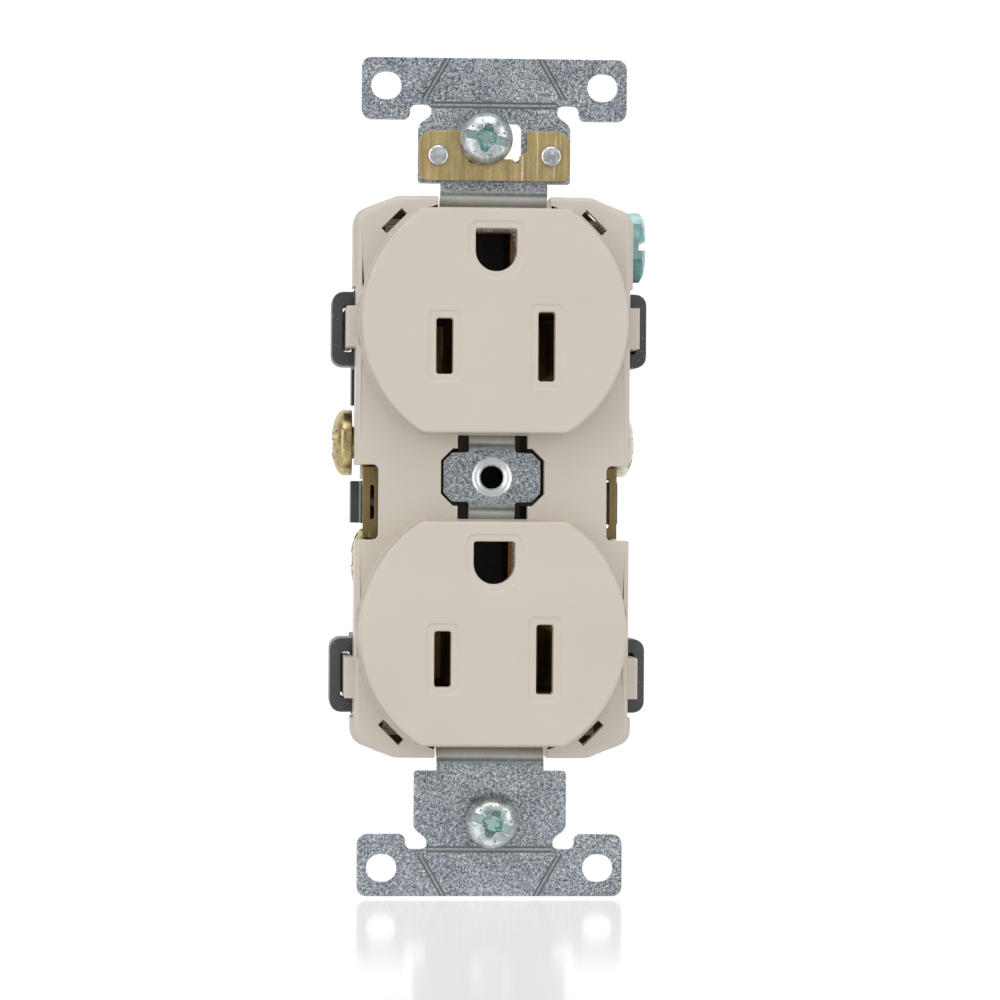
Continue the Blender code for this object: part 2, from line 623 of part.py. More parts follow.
def cut_cover_sides(cover):
    """The notches for the links and the strap's necks, and the corner slots."""
    front = LEDGE_Y - 1.0 * MM
    behind = COVER_REAR_Y + 1.0 * MM
    notch_width = LINK_NOTCH_DEPTH + 2.0 * MM
    for side, sign in (("right", 1), ("left", -1)):
        centre_x = sign * (LINK_NOTCH_X + notch_width / 2)
        notch = rectangle(centre_x, LINK_Z, notch_width, LINK_NOTCH_HEIGHT, 0.7 * MM)
        cut(cover, prism(f"link_notch_{side}", notch, front, behind))
    notch_half = NECK_WIDTH / 2 + GAP
    notch_floor = COVER_END - NECK_NOTCH_DEPTH
    past = COVER_END + 1.0 * MM
    for label, sign in (("upper", 1), ("lower", -1)):
        ends = sorted((sign * notch_floor, sign * past))
        low = (-notch_half, front, ends[0])
        high = (notch_half, behind, ends[1])
        cut(cover, block(f"neck_notch_{label}", low, high))
        face_z = sign * OUTLET_PITCH / 2
        for side, side_sign in (("right", 1), ("left", -1)):
            name = f"corner_slot_{label}_{side}"
            slot = block(
                name,
                (-CORNER_SLOT_LENGTH / 2, front, -CORNER_SLOT_WIDTH / 2),
                (CORNER_SLOT_LENGTH / 2, LEDGE_Y + LEDGE_THICKNESS + 0.5 * MM, CORNER_SLOT_WIDTH / 2),
            )
            reach = CORNER_SLOT_RADIUS / 2**0.5
            slot.location = (side_sign * reach, 0, face_z + sign * reach)
            slot.rotation_euler = (0, side_sign * sign * radians(45), 0)
            cut(cover, slot)


def cut_ground_notch(cover):
    """Room in the skirt's rear edge for the ground terminal."""
    low = (WING_X, INNER_FRONT_Y - GAP, GROUND_TAB_FOOT - GAP)
    high = (COVER_WIDTH, COVER_REAR_Y + 1.0 * MM, WING_TOP + GAP)
    cut(cover, block("ground_notch", low, high))


def cut_outlet_openings(cover):
    """Blade slots and ground holes in shallow recesses, and the pocket around the pad."""
    front = FACE_Y - 1.0 * MM
    behind = FACE_Y + FACE_WALL + 1.0 * MM
    recess = FACE_Y + SLOT_RECESS_DEPTH
    for label, blade_z, pin_z in zip(("upper", "lower"), BLADE_LINES, GROUND_PINS):
        for kind, x, height in (
            ("hot", -BLADE_SPACING / 2, HOT_SLOT_HEIGHT),
            ("neutral", BLADE_SPACING / 2, NEUTRAL_SLOT_HEIGHT),
        ):
            border = 2 * SLOT_RECESS_BORDER
            wide = rectangle(x, blade_z, BLADE_SLOT_WIDTH + border, height + border, SLOT_CORNER)
            slot = rectangle(x, blade_z, BLADE_SLOT_WIDTH, height, SLOT_CORNER)
            cut(cover, prism(f"{kind}_recess_{label}", wide, front, recess))
            cut(cover, prism(f"{kind}_slot_{label}", slot, front, behind))
        around = ground_outline(pin_z, SLOT_RECESS_BORDER)
        cut(cover, prism(f"ground_recess_{label}", around, front, recess))
        cut(cover, prism(f"ground_hole_{label}", ground_outline(pin_z), front, behind))
    half_width = POCKET_WIDTH / 2
    half_height = POCKET_HEIGHT / 2
    quarter = [
        (half_width - POCKET_CHAMFER, half_height, 0),
        (half_width, half_height - POCKET_CHAMFER, 0),
    ]
    pocket = mirrored(quarter + [(u, -v, r) for u, v, r in reversed(quarter)])
    ledge_front = LEDGE_Y - 1.0 * MM
    ledge_behind = LEDGE_Y + LEDGE_THICKNESS + 1.0 * MM
    cut(cover, prism("pad_pocket", rounded(pocket), ledge_front, ledge_behind))
    window = rectangle(0, 0, POCKET_WINDOW_WIDTH, POCKET_WINDOW_HEIGHT)
    cut(cover, prism("pad_windows", window, ledge_front, ledge_behind))


def build_back_body(material):
    half_height = BODY_HEIGHT / 2
    body = prism("back_body", body_outline(), 0, BODY_FRONT_Y, material=material)
    soften_front(body, 0, BODY_REAR_CHAMFER, segments=1)
    add_latch_loops(body)
    open_front = BODY_FRONT_Y - 1.0 * MM
    for side, sign in (("right", 1), ("left", -1)):
        cut_contact_cells(body, side, sign, open_front)
        cut_terminal_bays(body, side, sign, open_front)
    for label, pin_z in zip(("upper", "lower"), GROUND_PINS):
        cut_ground_cell(body, label, pin_z, open_front)
    tab_low = (GROUND_TAB_X - STRAP_THICKNESS - 2 * GAP, open_front, GROUND_TAB_FOOT - GAP)
    tab_high = (BODY_SIDE_X + 1.0 * MM, GROUND_TAB_REAR + GAP, half_height + 1.0 * MM)
    cut(body, block("ground_tab_bay", tab_low, tab_high))
    half_bay = GROUND_SHANK_BAY_HALF
    shank_low = (GROUND_SHANK_BAY_X, GROUND_SCREW_Y - half_bay, GROUND_SCREW_Z - half_bay)
    shank_high = (BODY_SIDE_X, GROUND_SCREW_Y + half_bay, GROUND_SCREW_Z + half_bay)
    cut(body, block("ground_shank_bay", shank_low, shank_high))
    cut(body, rod("plate_screw_well", (0, 0), PLATE_SCREW_WELL_RADIUS, open_front, -BODY_FLOOR))
    corner = GAUGE_GROOVE_WIDTH / 2 - 0.1 * MM
    groove = rectangle(GAUGE_GROOVE_X, LINK_Z, GAUGE_GROOVE_WIDTH, GAUGE_GROOVE_LENGTH, corner)
    cut(body, prism("strip_gauge", groove, -GAUGE_GROOVE_DEPTH, 1.0 * MM))
    return shade_round(body)


def add_latch_loops(body):
    """Four sleeves at the sides that hold the cover's arms."""
    root = BODY_SIDE_X - 1.0 * MM
    for label, centre_z in zip(("upper", "lower"), LATCH_CENTRES):
        half = LOOP_HEIGHT / 2
        for side, sign in (("right", 1), ("left", -1)):
            corners = [
                (root, centre_z - half, 0),
                (LOOP_OUTER_X, centre_z - half, LOOP_CORNER),
                (LOOP_OUTER_X, centre_z + half, LOOP_CORNER),
                (root, centre_z + half, 0),
            ]
            outline = [(sign * u, v) for u, v in rounded(corners)]
            join(body, prism(f"loop_{label}_{side}", outline, LOOP_FRONT_Y, LOOP_REAR_Y))
            width = LOOP_INNER_X - BODY_SIDE_X
            hole = rectangle(
                sign * (BODY_SIDE_X + width / 2),
                centre_z,
                width,
                LOOP_HEIGHT - 2 * LOOP_END_BAR,
                0.4 * MM,
            )
            ends = (LOOP_FRONT_Y - 1 * MM, LOOP_REAR_Y + 1 * MM)
            cut(body, prism(f"loop_hole_{label}_{side}", hole, *ends))


def cut_contact_cells(body, side, sign, open_front):
    """One open cell for each blade contact and its web."""
    divider = CELL_WALL / 2
    spans = (
        (LINK_Z + divider, BLADE_LINES[0] + CONTACT_CELL_TOP),
        (BLADE_LINES[1] - CONTACT_CELL_TOP, LINK_Z - divider),
    )
    for label, (low_z, high_z) in zip(("upper", "lower"), spans):
        edges = sorted((sign * CONTACT_CELL_INNER_X, sign * CONTACT_CELL_OUTER_X))
        cell = block(
            f"contact_cell_{label}_{side}",
            (edges[0], open_front, low_z),
            (edges[1], -BODY_FLOOR, high_z),
        )
        cut(body, cell)


def cut_terminal_bays(body, side, sign, open_front):
    """The sides stand open where the terminal plates and screws are, right through the floor."""
    reach = SIDE_PLATE_HALF + GAP
    past = sign * (BODY_SIDE_X + 1.0 * MM)
    steps = (
        ("bay", CONTACT_CELL_OUTER_X - 2.0 * MM, -BODY_FLOOR),
        ("floor", CONTACT_CELL_OUTER_X, 1.0 * MM),
    )
    for label, centre_z in zip(("upper", "lower"), TERMINAL_CENTRES):
        for kind, inner, rear in steps:
            edges = sorted((sign * inner, past))
            bay = block(
                f"terminal_{kind}_{label}_{side}",
                (edges[0], open_front, centre_z - reach),
                (edges[1], rear, centre_z + reach),
            )
            cut(body, bay)
    relief_edges = sorted((sign * (BODY_SIDE_X - SIDE_RELIEF), past))
    relief = block(
        f"side_relief_{side}",
        (relief_edges[0], open_front, LATCH_CENTRES[1] + LOOP_HEIGHT / 2 + GAP),
        (relief_edges[1], -REAR_RIM_DEPTH, LATCH_CENTRES[0] - LOOP_HEIGHT / 2 - GAP),
    )
    cut(body, relief)
    through = block(
        f"side_through_{side}",
        (relief_edges[0], open_front, LATCH_CENTRES[1] + LOOP_HEIGHT / 2 + GAP),
        (relief_edges[1], 1.0 * MM, TERMINAL_CENTRES[1]),
    )
    cut(body, through)
    link_half = LINK_HEIGHT / 2 + GAP
    slot_x = sorted((sign * (LINK_FLANGE_X - GAP), sign * (BODY_SIDE_X + 1.0 * MM)))
    slot = block(
        f"link_bay_{side}",
        (slot_x[0], open_front, LINK_Z - link_half),
        (slot_x[1], RISER_REAR + GAP, LINK_Z + link_half),
    )
    cut(body, slot)


def cut_ground_cell(body, label, pin_z, open_front):
    """A stepped cell: wide at the front for the contact's plate, narrow behind for its leaves."""
    half_width = GROUND_PLATE_HALF_WIDTH + GAP
    half_height = GROUND_PLATE_HALF_HEIGHT + GAP
    step_y = BODY_FRONT_Y + SPINE_DEPTH
    wide = block(
        f"ground_step_{label}",
        (-half_width, open_front, pin_z - half_height),
        (half_width, step_y, pin_z + half_height),
    )
    leaf_half = GROUND_LEAF_ROOT_HALF + GROUND_SHEET + 2 * GAP
    narrow = block(
        f"ground_well_{label}",
        (-leaf_half, open_front, pin_z - half_height),
        (leaf_half, -BODY_FLOOR, pin_z + half_height),
    )
    cut(body, wide, narrow)


def strap_profile():
    """The strap's centre line seen from the side, from its top end to its bottom end."""
    outer = STRAP_FRONT_Y + STRAP_THICKNESS / 2
    inner = outer + STRAP_STEP
    end = STRAP_HEIGHT / 2 + 1.0 * MM
    step_top = SHOULDER_END_Z - 0.2 * MM
    pad_edge = PAD_HEIGHT / 2
    half = [
        (outer, end, 0),
        (outer, step_top, BEND_RADIUS),
        (inner, step_top - STRAP_STEP_RUN, BEND_RADIUS),
        (inner, pad_edge + STRAP_STEP_RUN, BEND_RADIUS),
        (outer, pad_edge, BEND_RADIUS),
    ]
    corners = half + [(y, -z, r) for y, z, r in reversed(half)]
    return rounded(corners)


def build_strap(material):
    sheet = ribbon(strap_profile(), STRAP_THICKNESS)
    strap = prism("mounting_strap", sheet, -STRAP_WIDTH, STRAP_WIDTH, axis="X", material=material)
    blank = prism("strap_blank", strap_outline(), STRAP_FRONT_Y - 3.0 * MM, INNER_REAR_Y + 3.0 * MM)
    combine(strap, blank, "INTERSECT")
    add_ground_tab(strap)
    cut_strap_holes(strap)
    cut_strap_scores(strap)
    return shade_round(strap)


def add_ground_tab(strap):
    """One wing runs on to the side and turns back as the ground terminal."""
    wing = block(
        "ground_wing",
        (WING_X - 1.0 * MM, INNER_FRONT_Y, WING_FOOT),
        (GROUND_TAB_X, INNER_REAR_Y, WING_TOP),
    )
    tab = block(
        "ground_tab",
        (GROUND_TAB_X - STRAP_THICKNESS, INNER_FRONT_Y, GROUND_TAB_FOOT),
        (GROUND_TAB_X, GROUND_TAB_REAR, WING_TOP),
    )
    join(strap, wing, tab)
    hole = rod(
        "ground_screw_hole",
        (GROUND_SCREW_Y, GROUND_SCREW_Z),
        TERMINAL_SHANK_RADIUS + GAP,
        GROUND_TAB_X - 3.0 * MM,
        GROUND_TAB_X + 1.0 * MM,
        axis="X",
    )
    cut(strap, hole)


def cut_strap_holes(strap):
    front = STRAP_FRONT_Y - 1.0 * MM
    rear = STRAP_REAR_Y + 1.0 * MM
    for label, sign in (("upper", 1), ("lower", -1)):
        for side, side_sign in (("right", 1), ("left", -1)):
            hole = rectangle(
                side_sign * EAR_HOLE_X,
                sign * EAR_HOLE_Z,
                EAR_HOLE_WIDTH,
                EAR_HOLE_HEIGHT,
                EAR_HOLE_HEIGHT / 2 - 0.01 * MM,
            )
            cut(strap, prism(f"ear_hole_{label}_{side}", hole, front, rear))
    slot_half = MOUNTING_SCREW_RADIUS + SLOT_PLAY
    slot_z = COVER_END + UPPER_SLOT_OFFSET
    upper_height = 2 * (slot_half + UPPER_SCREW_OFFSET - UPPER_SLOT_OFFSET)
    upper = rectangle(0, slot_z, 2 * UPPER_SLOT_HALF_LENGTH, upper_height, SLOT_END_CORNER)
    slot_z = -COVER_END - LOWER_SLOT_OFFSET
    lower_height = 2 * (slot_half + LOWER_SCREW_OFFSET - LOWER_SLOT_OFFSET)
    lower = rectangle(0, slot_z, 2 * LOWER_SLOT_HALF_LENGTH, lower_height, slot_half - 0.2 * MM)
    cut(strap, prism("upper_slot", upper, front, rear), prism("lower_slot", lower, front, rear))
    cut(strap, rod("plate_screw_hole", (0, 0), PLATE_SCREW_HOLE / 2, front, rear))
    inner_front = INNER_FRONT_Y - 1.0 * MM
    inner_rear = INNER_REAR_Y + 1.0 * MM
    for label, pin_z in zip(("upper", "lower"), GROUND_PINS):
        low, high = pin_z - PIN_HOLE_BELOW, pin_z + PIN_HOLE_ABOVE
        pin_hole = rectangle(0, (low + high) / 2, PIN_HOLE_WIDTH, high - low, PIN_HOLE_CORNER)
        cut(strap, prism(f"pin_hole_{label}", pin_hole, inner_front, inner_rear))
        for side, sign in (("right", 1), ("left", -1)):
            centre = (sign * GROUND_RIVET_X, pin_z)
            radius = GROUND_RIVET_RADIUS + GAP
            name = f"strap_rivet_hole_{label}_{side}"
            cut(strap, rod(name, centre, radius, inner_front, inner_rear, segments=16))
    for side, sign in (("right", 1), ("left", -1)):
        centre = (sign * CLIP_RIVET_X, CLIP_RIVET_Z)
        radius = CLIP_RIVET_RADIUS + GAP
        cut(strap, rod(f"strap_clip_hole_{side}", centre, radius, front, rear, segments=16))


def cut_strap_scores(strap):
    """Grooves that let the ears snap off, and a blank stamped panel."""
    front = STRAP_FRONT_Y - 1.0 * MM
    floor = STRAP_FRONT_Y + SCORE_DEPTH
    top = STRAP_HEIGHT / 2
    notch_top = top - EAR_NOTCH_TOP
    for label, sign in (("upper", 1), ("lower", -1)):
        line = rectangle(0, sign * notch_top, 2 * EAR_NOTCH_INNER_X - 0.4 * MM, SCORE_WIDTH)
        cut(strap, prism(f"cross_score_{label}", line, front, floor))
        for side, side_sign in (("right", 1), ("left", -1)):
            head = (side_sign * SCORE_TOP_X, sign * (top + 0.5 * MM))
            foot = (side_sign * SCORE_FOOT_X, sign * (notch_top + 0.55 * MM))
            score = ribbon([head, foot], SCORE_WIDTH)
            cut(strap, prism(f"ear_score_{label}_{side}", score, front, floor))
    panel = rectangle(0, -COVER_END - PANEL_OFFSET, PANEL_WIDTH, PANEL_HEIGHT, 0.3 * MM)
    cut(strap, prism("stamped_panel", panel, front, STRAP_FRONT_Y + PANEL_DEPTH))


def build_clip(material):
    """A brass spring plate with a tongue under the upper mounting screw."""
    corners = [
        (CLIP_SLIT_INNER, CLIP_OPENING_FLOOR - CLIP_TONGUE_DROP, 0),
        (CLIP_SLIT_INNER, CLIP_SLIT_FLOOR, 0.2 * MM),
        (CLIP_SLIT_OUTER, CLIP_SLIT_FLOOR, 0.2 * MM),
        (CLIP_SLIT_OUTER, CLIP_OPENING_FLOOR, 0),
        (CLIP_OPENING_HALF, CLIP_OPENING_FLOOR + 0.6 * MM, 0),
        (CLIP_OPENING_HALF, CLIP_TOP, 0),
        (CLIP_HALF_WIDTH, CLIP_TOP, CLIP_CORNER),
        (CLIP_HALF_WIDTH, CLIP_BOTTOM, 1.2 * MM),
    ]
    half = [(u, COVER_END + v, radius) for u, v, radius in corners]
    outline = rounded(mirrored(half))
    clip = prism("self_grounding_clip", outline, CLIP_FRONT_Y, CLIP_REAR_Y, material=material)
    front = CLIP_FRONT_Y - 1.0 * MM
    rear = CLIP_REAR_Y + 0.2 * MM
    for side, sign in (("right", 1), ("left", -1)):
        centre = (sign * CLIP_RIVET_X, CLIP_RIVET_Z)
        cut(clip, rod(f"clip_hole_{side}", centre, CLIP_RIVET_RADIUS + GAP, front, rear, segments=16))
    return shade_round(clip)


def build_rivet(name, x, z, front_y, rear_y, radius, head_radius, material):
    """A rivet along Y with a head in front of one sheet and one behind another."""
    length = rear_y - front_y
    profile = [
        (0, -RIVET_HEAD_HEIGHT),
        (head_radius, -RIVET_HEAD_HEIGHT),
        (head_radius, 0),
        (radius, 0),
        (radius, length),
        (head_radius, length),
        (head_radius, length + RIVET_HEAD_HEIGHT),
        (0, length + RIVET_HEAD_HEIGHT),
    ]
    rivet = turned(name, profile, segments=16, material=material)
    rivet.location = (x, front_y, z)
    rivet.rotation_euler = (-pi / 2, 0, 0)
    return rivet


def build_bus(name, sign, slot_height, material):
    """Two blade contacts with their webs, side plates and the break-off link: one brass strip."""
    contact_x = BLADE_SPACING / 2
    web_front = BUS_REAR - BUS_THICKNESS
    flange_edges = sorted((sign * (LINK_FLANGE_X - 0.6 * MM), sign * SIDE_PLATE_X))
    link = block(
        name,
        (flange_edges[0], LINK_FRONT, LINK_Z - LINK_HEIGHT / 2),
        (flange_edges[1], LINK_FRONT + BUS_THICKNESS, LINK_Z + LINK_HEIGHT / 2),
        material,
    )
    rows = zip(("upper", "lower"), (1, -1), BLADE_LINES, TERMINAL_CENTRES, (0.0, LOWER_PLATE_INSET))
    for label, up, blade_z, terminal_z, inset in rows:
        outer = SIDE_PLATE_X - inset
        inner = outer - BUS_THICKNESS
        plate = block(
            f"{name}_plate_{label}",
            (min(sign * inner, sign * outer), SIDE_PLATE_FRONT, terminal_z - SIDE_PLATE_HALF),
            (max(sign * inner, sign * outer), BUS_REAR, terminal_z + SIDE_PLATE_HALF),
        )
        riser_edges = sorted((LINK_Z + up * LINK_WINDOW_HEIGHT / 2, LINK_Z + up * LINK_HEIGHT / 2))
        riser = block(
            f"{name}_riser_{label}",
            (min(sign * inner, sign * outer), LINK_FRONT, riser_edges[0]),
            (max(sign * inner, sign * outer), RISER_REAR, riser_edges[1]),
        )
        web_half = contact_x + LEAF_BASE_HALF + LEAF_THICKNESS / 2
        web_outline = [
            (outer, terminal_z - up * SIDE_PLATE_HALF),
            (outer, terminal_z + up * SIDE_PLATE_HALF),
            (min(outer, CONTACT_CELL_OUTER_X) - GAP, terminal_z + up * SIDE_PLATE_HALF),
            (web_half, blade_z + up * LEAF_HALF_HEIGHT),
            (contact_x - LEAF_BASE_HALF, blade_z + up * LEAF_HALF_HEIGHT),
            (contact_x - LEAF_BASE_HALF, blade_z - up * LEAF_HALF_HEIGHT),
        ]
        sheet = [(sign * u, v) for u, v in web_outline]
        web = prism(f"{name}_web_{label}", sheet, web_front, BUS_REAR)
        leaves = prism(
            f"{name}_leaves_{label}",
            [(sign * u, v) for u, v in contact_section(contact_x)],
            blade_z - LEAF_HALF_HEIGHT,
            blade_z + LEAF_HALF_HEIGHT,
            axis="Z",
        )
        join(link, plate, riser, web, leaves)
        hole = rod(
            f"{name}_screw_hole_{label}",
            (TERMINAL_Y, terminal_z),
            TERMINAL_SHANK_RADIUS + GAP,
            sign * (inner - 1.0 * MM),
            sign * (outer + 1.0 * MM),
            axis="X",
        )
        cut(link, hole)
    corner = LINK_SLOT_WIDTH / 2 - 0.01 * MM
    slot = rectangle(sign * (LINK_NOTCH_X + LINK_SLOT_MARGIN), LINK_Z, LINK_SLOT_WIDTH, slot_height, corner)
    slot_ends = (LINK_FRONT - 1.0 * MM, LINK_FRONT + BUS_THICKNESS + 0.5 * MM)
    cut(link, prism(f"{name}_link_slot", slot, *slot_ends))
    return shade_round(link)


def contact_section(centre_x):
    """Two spring leaves that close on a blade, seen from above."""
    base_y = BUS_REAR - BUS_THICKNESS / 2
    right = [
        (LEAF_MOUTH_HALF, LEAF_MOUTH_Y),
        (LEAF_GRIP_HALF, LEAF_MOUTH_Y + LEAF_GRIP_DEPTH),
        (LEAF_BASE_HALF, LEAF_MOUTH_Y + LEAF_KNEE_DEPTH),
        (LEAF_BASE_HALF, base_y),
    ]
    path = [(centre_x - u, v) for u, v in right] + [(centre_x + u, v) for u, v in reversed(right)]
    return ribbon(path, LEAF_THICKNESS)


def build_ground_contact(name, pin_z, material):
    """A brass plate on the strap's rear with two leaves that close on the ground pin."""
    plate_rear = GROUND_PLATE_FRONT_Y + GROUND_SHEET
    outline = rectangle(0, pin_z, 2 * GROUND_PLATE_HALF_WIDTH, 2 * GROUND_PLATE_HALF_HEIGHT, 0.8 * MM)
    contact = prism(name, outline, GROUND_PLATE_FRONT_Y, plate_rear, material=material)
    for side, sign in (("right", 1), ("left", -1)):
        middle = GROUND_SHEET / 2
        path = [
            (sign * (GROUND_LEAF_ROOT_HALF + middle), plate_rear - middle),
            (sign * (GROUND_LEAF_ROOT_HALF + middle), plate_rear + 2.0 * MM),
            (sign * (GROUND_LEAF_HALF_GAP + middle), GROUND_LEAF_GRIP_Y),
            (sign * (GROUND_LEAF_ROOT_HALF + middle), GROUND_LEAF_REAR),
        ]
        leaf = prism(
            f"{name}_leaf_{side}",
            ribbon(path, GROUND_SHEET),
            pin_z - GROUND_LEAF_HALF_HEIGHT,
            pin_z + GROUND_LEAF_HALF_HEIGHT,
            axis="Z",
        )
        join(contact, leaf)
    window = rectangle(0, pin_z, 2 * GROUND_LEAF_ROOT_HALF, 2 * (GROUND_LEAF_HALF_HEIGHT + GAP))
    cut(contact, prism(f"{name}_window", window, GROUND_PLATE_FRONT_Y - 1 * MM, plate_rear + 0.5 * MM))
    for side, sign in (("right", 1), ("left", -1)):
        centre = (sign * GROUND_RIVET_X, pin_z)
        radius = GROUND_RIVET_RADIUS + GAP
        front = GROUND_PLATE_FRONT_Y - 1.0 * MM
        cut(contact, rod(f"{name}_hole_{side}", centre, radius, front, plate_rear + 1.0 * MM, segments=16))
    return shade_round(contact)


def domed_head(radius, edge, height, steps=5):
    """Points of a domed head's outside, from its rim to its crown."""
    dome = height - edge
    points = [(radius, 0), (radius, edge)]
    for step in range(1, steps):
        angle = pi / 2 * step / steps
        points.append((radius * cos(angle), edge + dome * sin(angle)))
    return points + [(0, height)]


def build_machine_screw(name, shank_radius, shank_length, head, material):
    """A screw along local Z, its head's underside at the origin, with a slot and a cross in its head."""
    head_radius, head_edge, head_height = head
    tip = 0.5 * MM
    profile = [
        (0, -shank_length),
        (shank_radius - tip, -shank_length),
        (shank_radius, -shank_length + tip),
        (shank_radius, 0),
        *domed_head(head_radius, head_edge, head_height),
    ]
    screw = turned(name, profile, material=material)
    floor = head_height - DRIVE_SLOT_DEPTH
    arms = (
        (2 * head_radius + 1.0 * MM, DRIVE_SLOT_WIDTH),
        (DRIVE_SLOT_WIDTH, 0.9 * head_radius),
    )
    for label, (length, width) in zip(("slot", "cross"), arms):
        low = (-length / 2, -width / 2, floor)
        high = (length / 2, width / 2, head_height + 1.0 * MM)
        cut(screw, block(f"{name}_{label}", low, high))
    return screw


def build_ground_screw(name, material):
    """A hex-head screw along local Z, its head's underside at the origin."""
    tip = 0.5 * MM
    corner = GROUND_HEX_ACROSS_FLATS / 2 / cos(pi / 6)
    profile = [
        (0, -TERMINAL_SHANK_LENGTH),
        (TERMINAL_SHANK_RADIUS - tip, -TERMINAL_SHANK_LENGTH),
        (TERMINAL_SHANK_RADIUS, -TERMINAL_SHANK_LENGTH + tip),
        (TERMINAL_SHANK_RADIUS, 0),
        (corner - 0.5 * MM, 0),
        (corner + 0.1 * MM, 0.5 * MM),
        (corner + 0.1 * MM, GROUND_HEAD_HEIGHT - 0.6 * MM),
        (corner - 0.9 * MM, GROUND_HEAD_HEIGHT),
        (0, GROUND_HEAD_HEIGHT),
    ]
    screw = turned(name, profile, material=material)
    angles = [GROUND_HEX_TURN + pi / 3 * step for step in range(6)]
    hexagon = [(corner * cos(a), corner * sin(a)) for a in angles]
    past = GROUND_HEAD_HEIGHT + 1.0 * MM
    keep = prism(f"{name}_hexagon", hexagon, -TERMINAL_SHANK_LENGTH - 1.0 * MM, past, axis="Z")
    combine(screw, keep, "INTERSECT")
    low = (-corner - 1.0 * MM, -DRIVE_SLOT_WIDTH / 2, GROUND_HEAD_HEIGHT - DRIVE_SLOT_DEPTH)
    high = (corner + 1.0 * MM, DRIVE_SLOT_WIDTH / 2, past)
    return cut(screw, block(f"{name}_slot", low, high))


def place_screw(screw, location, outward, turn=0.0):
    """Puts a screw's underside at a point, with its head pointing outwards, turned about its axis."""
    screw.location = location
    rotation = Vector(outward).to_track_quat("Z", "Y") @ Matrix.Rotation(turn, 3, "Z").to_quaternion()
    screw.rotation_euler = rotation.to_euler()
    return screw


def build_retainer(name, x, z, material):
    """A fibre washer that holds a mounting screw in its slot."""
    washer = rod(name, (0, 0), RETAINER_RADIUS, 0, RETAINER_THICKNESS, segments=24)
    washer.data.materials.append(material)
    ends = (-1.0 * MM, RETAINER_THICKNESS + 1.0 * MM)
    cut(washer, rod(f"{name}_hole", (0, 0), MOUNTING_SCREW_RADIUS + GAP, *ends))
    washer.location = (x, STRAP_REAR_Y + GAP, z)
    return shade_round(washer)


